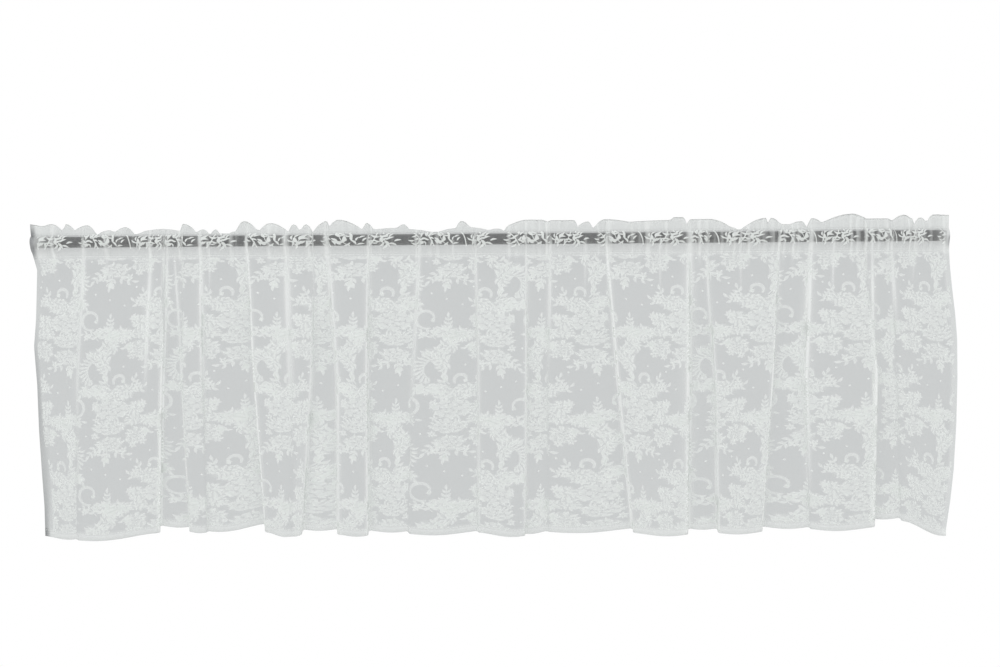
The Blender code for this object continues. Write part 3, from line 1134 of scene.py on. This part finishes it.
@dataclass
class Figure:
    """Flat lace shapes, kept as arrays of points (across, up, lift) and faces."""

    surfaces: dict[Work, list[tuple[np.ndarray, np.ndarray]]] = field(
        default_factory=lambda: {work: [] for work in Work}
    )

    def add(self, work: Work, points: np.ndarray, quads: np.ndarray) -> None:
        """Adds n x 3 points and their faces as a surface of that work."""
        self.surfaces[work].append((points, quads))

    def arrays(self, work: Work) -> tuple[np.ndarray, np.ndarray]:
        """All surfaces of one kind of work as one.

        Args:
            work: Which work.

        Returns:
            All points and all faces.
        """
        points, quads = zip(*self.surfaces[work])
        starts = summed([len(part) for part in points]).astype(int)
        numbered = [part + start for part, start in zip(quads, starts)]
        return np.concatenate(points), np.concatenate(numbered)

    def leaves(
        self,
        feet: np.ndarray,
        headings: np.ndarray | float,
        lengths: np.ndarray | float,
        widths: np.ndarray | float,
        bend: float = 0.08,
        full: float = 0.8,
        work: Work = Work.LEAF,
        steps: int = 4,
    ) -> None:
        """Adds many leaves or petals at once.

        A leaf's middle line runs from its foot along its heading and bows sideways by the
        bend, a share of its length, times a half sine wave. Half its width is a half sine
        wave of the share along it to the power of full: below 1 is widest near the foot,
        above 1 near the tip.

        Args:
            feet: n x 2 places where they grow from.
            headings: Directions in degrees, 0 to the right and 90 up.
            lengths: Foot to tip.
            widths: Greatest widths.
            bend: How far they bow to their left, as a share of their length.
            full: Where they are widest.
            work: How closely they are filled.
            steps: Faces along each.
        """
        feet = np.reshape(feet, (-1, 2))
        turn, length, width = (
            np.broadcast_to(np.reshape(np.asarray(v, float), (-1, 1, 1)), (len(feet), 1, 1))
            for v in (np.radians(headings), lengths, widths)
        )
        share = np.linspace(0.0, 1.0, steps + 1)[None, :, None]
        side = np.array([-1.0, 0.0, 1.0])[None, None, :]
        half = 0.5 * width * np.sin(math.pi * np.clip(share, 0.03, 0.98) ** full) ** 0.8
        forth = share * length
        sideways = bend * length * np.sin(math.pi * share) + side * half
        across = feet[:, 0, None, None] + forth * np.cos(turn) - sideways * np.sin(turn)
        up = feet[:, 1, None, None] + forth * np.sin(turn) + sideways * np.cos(turn)
        lift = 0.12 * (1 - side**2) * np.sin(math.pi * share)
        grid = np.stack(np.broadcast_arrays(across, up, lift), axis=3).reshape(-1, 3)
        self.add(work, grid, grid_quads(steps + 1, 3, len(feet)))

    def ribbon(self, path: np.ndarray, width: np.ndarray | float, work: Work) -> None:
        """Adds a narrow band along a path: each point shifted half the width to both sides.

        Args:
            path: n x 2 points.
            width: The band's width, one for all or one a point.
            work: How closely it is filled.
        """
        run = np.gradient(path, axis=0)
        run /= np.linalg.norm(run, axis=1, keepdims=True)
        half = np.reshape(0.5 * np.asarray(width), (-1, 1))
        side = np.stack([-run[:, 1], run[:, 0]], axis=1) * half
        both = np.stack([path - side, path + side], axis=1).reshape(-1, 2)
        grid = np.column_stack([both, np.full(len(both), 0.1)])
        self.add(work, grid, grid_quads(len(path), 2))

    def dots(self, centres: np.ndarray, radius: float, work: Work) -> None:
        """Adds round spots, each as two short leaves laid across each other.

        Args:
            centres: n x 2 places.
            radius: Their radius.
            work: How closely they are filled.
        """
        for heading in (20.0, 110.0):
            feet = np.reshape(centres, (-1, 2)) - radius * unit(heading)
            self.leaves(feet, heading, 2 * radius, 1.5 * radius, 0.0, 1.0, work, 3)

    def stars(self, spots: np.ndarray) -> None:
        """Adds small open flowers: leaves all round each centre, each a little off it.

        Args:
            spots: n x 5 values: across, up, size, leaves, turn in degrees.
        """
        for across, up, size, leaves, turn in spots:
            number = np.arange(int(leaves))
            heading = turn + 360.0 * number / leaves
            length = size * (0.8 + 0.2 * np.cos(2.4 * number + turn))
            self.leaves([across, up] + 0.12 * size * unit(heading), heading, length, 0.5 * size)

    def curl(
        self, centre: Pair, radius: float, start: float, sweep: float, width: float, close: float
    ) -> None:
        """Adds a scroll with a round spot at its inner end.

        Args:
            centre: Its centre.
            radius: Its radius at its start.
            start: Where it starts, in degrees.
            sweep: How far round it goes, in degrees.
            width: Its width at its middle, where it swells.
            close: The share of its radius that it has lost at its end.
        """
        share = np.linspace(0.0, 1.0, max(8, int(abs(sweep) / 13)))
        reach = radius * (1 - close * share**4)
        path = np.array(centre) + reach[:, None] * unit(start + sweep * share)
        self.ribbon(path, width * (0.6 + 0.5 * np.sin(math.pi * share)), Work.PETAL)
        self.dots(path[-1], 0.8 * width, Work.PETAL)

    def frond(self, centre: Pair, radius: float, start: float, sweep: float, leaf: float) -> None:
        """Adds a plume: a curved stem with two rows of long slim leaves on its outer side.

        Args:
            centre: The stem's centre of curvature.
            radius: Its radius.
            start: Where the stem starts, in degrees.
            sweep: How far round it goes, in degrees.
            leaf: Length of the longest leaves, in its middle.
        """
        self.curl(centre, radius, start, sweep, 2.2, 0.0)
        share = np.linspace(0.0, 1.0, 12)
        angle = start + sweep * share
        size = leaf * (0.6 + 0.3 * np.sin(math.pi * share) + 0.1 * np.cos(29.0 * share))
        for reach, lean in ((0.0, 30.0), (0.45, 14.0)):
            feet = np.array(centre) + unit(angle) * (radius + reach * size[:, None])
            self.leaves(feet, angle + lean, (0.95 - 0.6 * reach) * size, 0.2 * leaf, 0.14)

    def twig(self, twig: Twig, work: Work = Work.LEAF) -> None:
        """Adds a bowed stem with pairs of leaves and an end leaf.

        The stem's middle line runs along the heading and bows by the bend times a half
        sine wave. Leaves are longest in its middle and lean 44 degrees off it.

        Args:
            twig: The stem, its leaves and its place.
            work: How closely they are filled.
        """
        share = np.linspace(0.0, 1.0, 9)[:, None]
        bow = twig.bend * np.sin(math.pi * share)
        path = share * twig.length * unit(twig.heading) + bow * unit(twig.heading + 90.0)
        path = path + [twig.across, twig.up]
        self.ribbon(path, 1.2 - 0.4 * share, work)
        at = (np.arange(twig.pairs) + 0.7) / (twig.pairs + 0.4)
        feet = np.stack([np.interp(at, share[:, 0], axis) for axis in path.T], axis=1)
        steep = math.pi * twig.bend / twig.length
        lean = twig.heading + np.degrees(np.arctan(steep * np.cos(math.pi * at)))
        size = twig.leaf * (0.65 + 0.45 * np.sin(math.pi * (0.25 + 0.7 * at)))
        for side in (-1, 1):
            self.leaves(feet, lean + 44.0 * side, size, 0.46 * size, 0.1 * side, work=work)
        end = twig.heading - math.degrees(math.atan(steep))
        self.leaves(path[-1], end, 1.1 * twig.leaf, 0.48 * twig.leaf, work=work)

    def rose(self, centre: Pair, wide: float, high: float, turn: float) -> None:
        """Adds a full rose: rings of half-dense petals with thin open lines between them.

        A petal is a piece of a ring between two ellipses: across it runs the angle, and
        outwards the reach from the inner to the outer ellipse, which falls by the fourth
        power of the way to its sides so that its outer corners are round. Four curved
        leaves lie at its middle.

        Args:
            centre: Its centre.
            wide: Its width.
            high: Its height.
            turn: Where its first petal starts, in degrees.
        """
        centre, size = np.array(centre), np.array([wide, high])
        share = np.linspace(0.0, 1.0, 4)[None, :, None]
        side = np.linspace(-1.0, 1.0, 5)[None, None, :]
        for ring, (count, inner, outer) in enumerate(ROSE_RINGS):
            first = turn + 23.0 * ring + 360.0 * np.arange(count) / count
            diameter = 0.25 * (wide + high) * (inner + outer)
            half = 180.0 / count - math.degrees(ROSE_GAP / diameter)
            reach = inner + (outer - inner - 0.03) * share * (1 - 0.3 * side**4)
            angle = first[:, None, None] + half * side
            spot = centre + 0.5 * size * reach[..., None] * unit(angle)
            grid = np.concatenate([spot, 0 * spot[..., :1]], axis=3).reshape(-1, 3)
            self.add(Work.PETAL, grid, grid_quads(4, 5, count)[:, ::-1])
        heading = turn + 90.0 * np.arange(4)
        feet = centre + 0.09 * size * unit(heading)
        self.leaves(feet, heading + 70, 0.16 * wide, 0.06 * wide, -0.25)

    def packed(
        self, body: np.ndarray, bare: np.ndarray, filling: Filling, work: Work = Work.LEAF
    ) -> None:
        """Fills a body with close small leaves.

        Leaves stand on a staggered grid, each moved by chance, and point away from the
        middle of the nearest ellipse with a slow swirl.

        Args:
            body: n x 4 ellipses: centre across and up, half width and half height.
            bare: m x 4 ellipses that stay without leaves.
            filling: How close and how large they are.
            work: How closely each leaf is filled.
        """
        pitch, leaf, slim = filling
        chance = np.random.default_rng(len(body))
        row, column = np.mgrid[-40:40, -40:40]
        spot = np.stack([column + 0.5 * (row % 2), 0.87 * row], axis=2).reshape(-1, 2) * pitch
        spot = spot + chance.uniform(-0.3, 0.3, spot.shape) * pitch
        spot = spot[within(spot, body) & ~within(spot, bare)]
        far = (spot[:, None, :] - body[None, :, :2]) / body[None, :, 2:]
        away = spot - body[(far**2).sum(axis=2).argmin(axis=1), :2]
        heading = np.degrees(np.arctan2(away[:, 1], away[:, 0]))
        heading = heading + 40 * np.sin(spot[:, 0] / 9 + spot[:, 1] / 6)
        heading = heading + chance.uniform(-30, 30, len(spot))
        size = leaf * chance.uniform(0.8, 1.25, len(spot))
        self.leaves(spot - 0.5 * leaf * unit(heading), heading, size, slim * size, 0.12, work=work)

    def webbing(self, body: np.ndarray, bare: np.ndarray) -> None:
        """Adds a grid of 3 mm squares wherever a body's ellipses are and the bare ones aren't.

        Args:
            body: n x 4 ellipses, which are filled a little inside their edges.
            bare: m x 4 ellipses, which are left open a little inside theirs.
        """
        row, column = np.mgrid[-44:44, -44:44]
        corner = np.stack([column, row], axis=2).reshape(-1, 2) * WEB_CELL
        middle = corner + 0.5 * WEB_CELL
        filled = within(middle, body * [1, 1, 0.95, 0.95])
        corner = corner[filled & ~within(middle, bare * [1, 1, 0.85, 0.85])]
        square = np.array([[0, 0], [1, 0], [0, 1], [1, 1]]) * WEB_CELL
        grid = (corner[:, None] + square[None]).reshape(-1, 2)
        grid = np.column_stack([grid, np.zeros(len(grid))])
        self.add(Work.WEB, grid, grid_quads(2, 2, len(corner)))


# The bouquet's parts with small leaves, as ellipses: across, up, half width, half height,
BODY = np.array(
    [
        (5, 8, 24, 14), (-28, 8, 12, 11), (-14, 34, 18, 9), (12, 32, 14, 7), (-24, -8, 12, 9),
        (7, -17, 22, 10), (-30, -30, 15, 12), (6, -40, 18, 11), (2, 25, 25, 6),
    ],
    float,
)  # fmt: skip
# those with long leaves,
ARMS = np.array(
    [
        (-52, -9, 23, 9), (79, -7, 15, 9), (84, -23, 10, 13), (72, -33, 10, 7), (60, -36, 8, 6),
        (56, -89, 15, 8), (20, 38, 9, 7), (75, -48, 10, 13),
    ],
    float,
)  # fmt: skip
# and those that are left to the roses.
ROSE_PLACES = np.array(
    [(5, 8, 21, 12), (7, -18, 19, 8.5), (6, -40, 14, 9.5), (-30, -30, 8, 7)], float
)
# Roses: across, up, width, height, first petal.
ROSES = (
    (5, 8, 44, 26, 12), (7, -18, 40, 18, 30), (6, -40, 30, 20, 5), (-30, -30, 17, 15, 30),
    (-50, -8, 14, 12, 0),
)  # fmt: skip
# Small open flowers: across, up, size, leaves, turn.
STARS = np.array(
    [
        (-38, 14, 6.5, 6, 10), (-42, -26, 6.5, 6, 70), (-38, -40, 6.0, 5, 20), (-24, -43, 6.0, 6, 30),
        (-12, -50, 6.0, 5, 55), (-30, 40, 6.5, 6, 80), (12, -62, 6.5, 6, 42), (22, -52, 6.0, 6, 25),
        (26, -28, 6.0, 6, 18), (50, -12, 6.0, 6, 50), (66, -4, 6.5, 6, 5), (100, -18, 6.0, 5, 33),
        (26, 16, 6.0, 6, 60), (24, -6, 5.5, 5, 12),
    ],
    float,
)  # fmt: skip
TWIGS = (
    #    across up heading length bend pairs leaf
    Twig(81, -6, 88, 20, 0, 3, 7.2),
    Twig(67, -17, 157, 24, -4, 3, 7.5),
    Twig(-28, 34, 160, 11, 2, 1, 7.5),
    Twig(-22, 42, 120, 10, 1, 1, 7.5),
    Twig(8, 38, 72, 18, -3, 1, 8.5),
    Twig(-38, -22, 215, 10, 2, 1, 7.0),
    Twig(2, -46, 208, 20, 3, 2, 8.5),
    Twig(14, -42, -34, 24, 3, 3, 8.5),
    Twig(10, -48, -80, 15, 0, 2, 8.0),
    Twig(56, -84, 215, 14, -2, 2, 8.0),
    Twig(64, -88, -30, 16, 3, 2, 8.0),
)
BUDS = ((12, 48, 74, 11), (12, -56, 272, 8))  # across, up, heading, length
DOTS = np.array([(79, 40), (99, 32), (60, 48), (102, -54), (-22, -64), (39, -28)], float)
HANGING_STEM = np.array([(75, -58), (76, -67), (79, -75), (84, -81)], float)
# The heading's vine, one repeat from 0 to 150: stems as left, top, right and foot,
VINE_STEMS = ((2, 11, 15, -11), (78, 11, 84, -11), (104, -11, 114, 11), (30, 11, 42, -11))
# its close-leaved parts, as ellipses,
VINE_BODY = np.array(
    [(16, 0, 17, 12), (37, 0, 10, 12), (59, 0, 17, 12), (97, 0, 12, 12), (121, 0, 16, 12)], float
)
# and its sprigs.
VINE_TWIGS = (
    #    across up heading length bend pairs leaf
    Twig(14, -9, 48, 16, -2, 1, 9.0),
    Twig(60, -9, 128, 16, 2, 1, 9.0),
    Twig(94, -8, 62, 9, 0, 1, 8.0),
    Twig(112, 5, -35, 12, 2, 1, 8.0),
)


@dataclass(frozen=True)
class LacePattern:
    """The all-over pattern: bouquets in a half-drop repeat, every other row turned over.

    One repeat is a bouquet of roses with its twigs and a scroll, a scroll ring and a plume
    beside it, and spots on the ground between. It is a common lace figure of no one's
    design. A leafy vine runs along the heading.
    """

    drop: float = 122.0  # row to row
    first: float = 101.5  # first row's roses, down from the lower stitches
    shift: float = 91.0  # first row's roses, along from a ring
    turned_shift: float = 32.0  # and the turned-over row's
    ring: float = 55.0  # ring's centre, along from the roses
    sag: float = 4.5  # how much lower the rows hang in the panel's middle
    sag_place: float = 760.0
    sag_width: float = 260.0
    vine_shift: float = -39.0  # the vine's first repeat, along from a ring
    vine_level: float = -23.0  # and down from the lower stitches
    small_leaves: Filling = Filling(4.6, 5.8, 0.5)
    long_leaves: Filling = Filling(4.9, 8.2, 0.38)
    vine_leaves: Filling = Filling(6.7, 7.8, 0.33)

    def bouquet(self) -> Figure:
        """Draws one repeat round its upper rose.

        Returns:
            The figure.
        """
        made = Figure()
        made.webbing(np.concatenate([BODY, ARMS]), ROSE_PLACES)
        made.packed(BODY, ROSE_PLACES, self.small_leaves)
        made.packed(ARMS, BODY, self.long_leaves)
        for across, up, wide, high, turn in ROSES:
            made.rose((across, up), wide, high, turn)
        made.stars(STARS)
        for twig in TWIGS:
            made.twig(twig)
        for across, up, heading, size in BUDS:
            made.leaves((across, up), heading, size, 0.6 * size, 0.0, 1.1)
            for side in (-26, 26):
                made.leaves((across, up), heading + side, 0.8 * size, 0.26 * size)
        made.curl((-6, 48), 8.0, -35, 225, 4.2, 0.35)
        made.curl((self.ring, 11), 13.0, -68, -300, 4.0, 0.4)
        made.frond((69, -60), 15.5, 84, 150, 15.0)
        made.ribbon(HANGING_STEM, 1.8, Work.PETAL)
        share = np.linspace(0, 1, 9)
        for rise in (-9, -14):
            stem = np.stack([36 * share - 68, rise + 4 * np.sin(math.pi * share)], axis=1)
            made.ribbon(stem, 1.6, Work.PETAL)
        made.dots(DOTS, 1.5, Work.DENSE)
        return made

    def vine(self) -> Figure:
        """Draws one repeat of the leafy vine that lies over the rod.

        Returns:
            The figure.
        """
        made = Figure()
        share = np.linspace(0, 1, 9)[:, None]
        bow = np.array([1.5, 0.0]) * np.sin(math.pi * share)
        for left, top, right, foot in VINE_STEMS:
            straight = np.array([left, top]) * (1 - share) + np.array([right, foot]) * share
            made.ribbon(straight + bow, 1.4, Work.DENSE)
        made.packed(VINE_BODY, np.empty((0, 4)), self.vine_leaves, Work.DENSE)
        for twig in VINE_TWIGS:
            made.twig(twig, Work.DENSE)
        return made

    def spots(self) -> tuple[np.ndarray, np.ndarray]:
        """Spreads the bouquets over the cloth.

        Returns:
            n x 2 places along and down the flat cloth, and n values, True where the
            bouquet is turned over, left for right.
        """
        row, number = (grid.ravel() for grid in np.mgrid[-1:4, -2:12])
        turned = row % 2 == 1
        along = REPEAT * number + np.where(turned, self.turned_shift, self.shift)
        down = self.first + self.drop * row + self.sag * bell(along - self.sag_place, self.sag_width)
        return np.stack([along, down], axis=1), turned

    def vine_spots(self) -> tuple[np.ndarray, np.ndarray]:
        """Spreads the vine along the heading.

        Returns:
            The same two as for the bouquets; no repeat is turned over.
        """
        along = REPEAT * np.arange(-1, 11) + self.vine_shift
        down = np.full(len(along), self.vine_level)
        return np.stack([along, down], axis=1), np.zeros(len(along), bool)


def placed(figure: Figure, work: Work, spots: np.ndarray, turned: np.ndarray) -> Lay:
    """Repeats one kind of a figure's work at many spots of the flat cloth.

    Args:
        figure: What is repeated.
        work: Which of its work.
        spots: n x 2 places along and down the flat cloth.
        turned: n values, True where the figure is turned over, left for right.

    Returns:
        All of them as one.
    """
    points, quads = figure.arrays(work)
    sign = np.where(turned, -1.0, 1.0)[:, None]
    along = spots[:, :1] + sign * points[None, :, 0]
    down = spots[:, 1:] - points[None, :, 1]
    faces = np.where(turned[:, None, None], quads[None, :, ::-1], quads[None])
    faces = faces + (np.arange(len(spots)) * len(points))[:, None, None]
    flat = np.stack([along, down], axis=2).reshape(-1, 2)
    return Lay(flat, np.tile(points[:, 2], len(spots)), faces.reshape(-1, 4))


# --------------------------------------------------------------------------- the pieces


class Layer(NamedTuple):
    """A piece of the bouquets' work."""

    work: Work
    high: float  # place down the flat cloth where it starts
    low: float  # and where it ends
    raised: float  # how far it stands off the net


LAYERS = {
    "scrolls": Layer(Work.DENSE, -2.0, 500.0, 0.32),  # the spots beside them
    "leaves_upper": Layer(Work.LEAF, -2.0, 130.0, 0.2),
    "leaves_middle": Layer(Work.LEAF, 130.0, 262.0, 0.2),
    "leaves_lower": Layer(Work.LEAF, 262.0, 500.0, 0.2),
    "petals": Layer(Work.PETAL, -2.0, 500.0, 0.26),
    "webbing": Layer(Work.WEB, 14.0, 500.0, 0.1),
}
VINE_LAYER = Layer(Work.DENSE, -36.0, -9.0, 0.3)
# The left edge rolls under and takes the figures' ends along: down the cloth, how much of it.
ROLLED_UNDER = np.array([(150.0, 2.0), (250.0, 4.0), (320.0, 13.0)])


@dataclass
class LacePanel:
    """The curtain panel: its net, its figure work and its stitching."""

    cloth: HungCloth = field(default_factory=HungCloth)
    pattern: LacePattern = field(default_factory=LacePattern)
    figure_edge: float = 3.0  # how far the figures end inside the side edges
    vine_edge: float = 6.0
    stitch_length: float = 3.0
    stitch_gap: float = 0.8
    stitch_width: float = 0.4
    stitch_height: float = 0.3
    stitch_free: float = 2.0  # no figure lies closer to the lower stitches
    first_stitch: float = 2.0  # inside the left edge
    last_stitch: float = 5.0  # inside the right edge
    hem_stitch: float = 0.5  # how far the hem's row lies above its raw edge

    def build(self) -> None:
        net = self.net()
        worn = self.figures() + [self.stitches()]

    def net(self) -> bpy.types.Object:
        """Builds the ground net, which stands for the plain cloth solid.

        Returns:
            The piece.
        """
        cloth = self.cloth
        flat = np.broadcast_arrays(cloth.along[None, :], cloth.strip.flat[:, None])
        piece = new_piece(
            "lace_net",
            cloth.points.reshape(-1, 3),
            grid_quads(*cloth.points.shape[:2]),
            NetFinish().material(),
            np.stack(flat, axis=2).reshape(-1, 2),
            {"bunch": cloth.bunch.ravel(), "rolled_and_shaded": np.minimum(cloth.rolled_and_shaded(), 1.0).ravel()},
        )
        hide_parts("curtain_panel")
        return piece

    def figures(self) -> list[bpy.types.Object]:
        """Builds the bouquets and the pocket's vine, one or more pieces for each work.

        Returns:
            The pieces.
        """
        finishes = {
            Work.DENSE: WorkFinish("lace_figure_dense_laid_in", 0.80, 0.14),
            Work.LEAF: WorkFinish("lace_figure_leaf_laid_in", 0.54, 0.14),
            Work.PETAL: WorkFinish("lace_figure_petal_half_laid_in", 0.47, 0.14),
            Work.WEB: WorkFinish("lace_figure_open_webbing", 0.21, 0.08),
        }
        materials = {work: finish.material() for work, finish in finishes.items()}
        bouquet, spots = self.pattern.bouquet(), self.pattern.spots()
        lays = {
            name: (layer, self.kept(placed(bouquet, layer.work, *spots), layer, self.figure_edge))
            for name, layer in LAYERS.items()
        }
        vine = placed(self.pattern.vine(), Work.DENSE, *self.pattern.vine_spots())
        lays["pocket_vine"] = (VINE_LAYER, self.kept(vine, VINE_LAYER, self.vine_edge))
        made = []
        for name, (layer, lay) in lays.items():
            points = self.cloth.on(lay.flat, lay.lift + layer.raised)
            made.append(new_piece(f"lace_{name}", points, lay.faces, materials[layer.work], lay.flat))
        return made

    def kept(self, lay: Lay, layer: Layer, edge: float) -> Lay:
        """Keeps the faces on the cloth, off the lower stitches, whose middle a layer spans.

        Args:
            lay: What is laid out.
            layer: From where to where down the cloth.
            edge: How far it ends inside the side edges; more at the left one.

        Returns:
            What is left of it.
        """
        flat, cloth = lay.flat, self.cloth
        low = cloth.along[0] + edge + read(ROLLED_UNDER, flat[:, 1])
        inside = (flat[:, 0] > low) & (flat[:, 0] < cloth.along[-1] - edge)
        inside &= flat[:, 1] < cloth.flat_drop - cloth.hem_band
        inside &= np.abs(flat[:, 1]) > self.stitch_free
        middle = flat[lay.faces].mean(axis=1)[:, 1]
        good = inside[lay.faces].all(axis=1) & (middle > layer.high) & (middle <= layer.low)
        used, numbers = np.unique(lay.faces[good], return_inverse=True)
        return Lay(flat[used], lay.lift[used], numbers.reshape(-1, 4))

    def stitches(self) -> bpy.types.Object:
        """Builds the three rows of stitches as one mesh of small arched threads.

        Across a stitch the surface is an arch of height, along it a half sine wave, so that
        each stitch dips into the cloth at both ends.

        Returns:
            The piece.
        """
        cloth, row = self.cloth, self.cloth.strip
        front = (row.spread < 0) & (row.hem == 0) & (row.ruffle == 0)
        top = np.argmin(np.where(front, np.abs(row.level - cloth.top_stitch), math.inf))
        lines = (0.0, row.flat[top], cloth.flat_drop - cloth.hem_band - self.hem_stitch)
        left, right = cloth.along[0] + self.first_stitch, cloth.along[-1] - self.last_stitch
        starts = np.arange(left, right, self.stitch_length + self.stitch_gap)
        corners = np.stack(np.meshgrid(starts, lines), axis=2).reshape(-1, 2)
        share = np.linspace(0, 1, 5)[:, None]
        side = np.linspace(-1, 1, 3)[None, :]
        arch = self.stitch_height * (np.sin(math.pi * share) * (1 - side**2) + 1)
        across = 0.5 * self.stitch_width * side
        grid = np.broadcast_arrays(share * self.stitch_length, across, arch)
        one = np.stack(grid, axis=2).reshape(-1, 3)
        flat = (corners[:, None] + one[None, :, :2]).reshape(-1, 2)
        points = cloth.on(flat, np.tile(one[:, 2], len(corners)))
        faces = grid_quads(5, 3, len(corners))[:, ::-1]
        return new_piece("stitching", points, faces, ThreadFinish().material(), flat)


@dataclass
class CurtainRod:
    """The plain rod, whose solid is right as it is and only takes its finish."""

    node: str = "rod"

    def dress(self) -> None:
        """Gives the rod its painted steel."""
        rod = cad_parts[self.node]
        rod.data.materials.clear()
        rod.data.materials.append(RodFinish().material())
        LOG.info("%s: painted", self.node)


# --------------------------------------------------------------------------- the studio


class Lamp(NamedTuple):
    """A square soft lamp, in metres and watts."""

    name: str
    place: tuple[float, float, float]
    size: float
    power: float


@dataclass
class Studio:
    """A plain pale floor far below, soft light all round and one camera."""

    # above the camera's left, weaker to its right, and behind the panel for its back
    lamps: tuple[Lamp, ...] = (
        Lamp("key_softbox", (-0.6, -2.2, 1.5), 2.2, 26.0),
        Lamp("fill_softbox", (2.2, -2.0, 0.6), 2.0, 10.4),
        Lamp("back_softbox", (0.2, 2.3, 1.0), 2.0, 13.0),
    )
    lamps_aim: tuple[float, float, float] = (0.65, 0.0, -0.2)  # in metres
    floor_level: float = -1250.0
    floor_corner: Pair = (-1500.0, -2900.0)
    floor_size: Pair = (4400.0, 5200.0)
    middle: Pair = (665.4, -136.0)  # what the camera looks at
    distance: float = 2596.0
    lens: float = 65.0
    roll: float = 0.4475  # degrees that the camera leans, right side down
    ambient: float = 0.675
    beyond: float = 0.567  # how bright the room is, seen through the net
    beyond_tint: tuple[float, float, float] = (1.0, 1.028, 1.032)
    clear_layers: int = 64  # layers of net that light goes through

    def build(self) -> None:
        """Builds the world, lamps, floor and camera."""
        scene = bpy.context.scene
        scene.view_settings.view_transform = "Standard"
        cycles = getattr(scene, "cycles", None)
        if cycles is not None:
            cycles.transparent_max_bounces = self.clear_layers
        self.surround()
        for lamp in self.lamps:
            self.hang(lamp)
        self.floor()
        self.camera()
        LOG.info("studio: %d lamps, floor and camera", len(self.lamps))

    def surround(self) -> None:
        """Makes the surround: white where it is seen directly, a soft grey room where it is
        seen through the net, and an even soft light on everything."""
        world = bpy.data.worlds.new("studio_surround")
        bpy.context.scene.world = world
        world.use_nodes = True
        tree = world.node_tree
        tree.nodes.clear()
        grey = (*(self.beyond * share for share in self.beyond_tint), 1.0)
        tones = {"data_type": "RGBA", 6: (1.0, 1.0, 1.0, 1.0), 7: grey}
        sight = add_node(tree, "Mix", tones, {0: seen_through(tree)})
        even = {"data_type": "RGBA", 6: (self.ambient, self.ambient, self.ambient, 1.0)}
        looked_at = add_node(tree, "LightPath").outputs["Is Camera Ray"]
        both = add_node(tree, "Mix", even, {0: looked_at, 7: sight.outputs[2]})
        glow = add_node(tree, "Background", links={0: both.outputs[2]})
        add_node(tree, "OutputWorld", links={0: glow})

    def hang(self, lamp: Lamp) -> None:
        """Hangs a lamp and turns it to the panel.

        Args:
            lamp: Its name, place, size and power.
        """
        data = bpy.data.lights.new(lamp.name, "AREA")
        data.size = lamp.size
        data.energy = lamp.power
        made = bpy.data.objects.new(lamp.name, data)
        made.location = lamp.place
        toward = Vector(self.lamps_aim) - Vector(lamp.place)
        made.rotation_euler = toward.to_track_quat("-Z", "Y").to_euler()
        made.visible_camera = False
        bpy.context.scene.collection.objects.link(made)

    def floor(self) -> None:
        """Lays a plain pale level floor."""
        side = np.linspace(0.0, 1.0, 9)
        sides = [start + size * side for start, size in zip(self.floor_corner, self.floor_size)]
        across, deep = np.meshgrid(*sides)
        level = np.full(across.shape, self.floor_level)
        points = np.stack([across, deep, level], axis=2).reshape(-1, 3)
        floor = new_object("floor", points, grid_quads(len(side), len(side)))
        floor.data.materials.append(FloorFinish().material())

    def camera(self) -> None:
        """Sets up a camera that looks level at the panel, leaning a little about its axis."""
        data = bpy.data.cameras.new("camera")
        data.lens = self.lens
        data.sensor_width = 36.0
        camera = bpy.data.objects.new("camera", data)
        place = [MM * value for value in (self.middle[0], -self.distance, self.middle[1])]
        level = Matrix.Rotation(math.radians(90.0), 4, "X")
        lean = Matrix.Rotation(math.radians(-self.roll), 4, "Z")
        camera.matrix_world = Matrix.Translation(place) @ level @ lean
        bpy.context.scene.collection.objects.link(camera)
        bpy.context.scene.camera = camera


def main() -> None:
    """Builds the panel, dresses the rod and sets up the studio."""
    logging.basicConfig(level=logging.INFO, format="%(name)s: %(message)s")
    LacePanel().build()
    CurtainRod().dress()
    Studio().build()


if __name__ == "__main__":
    main()
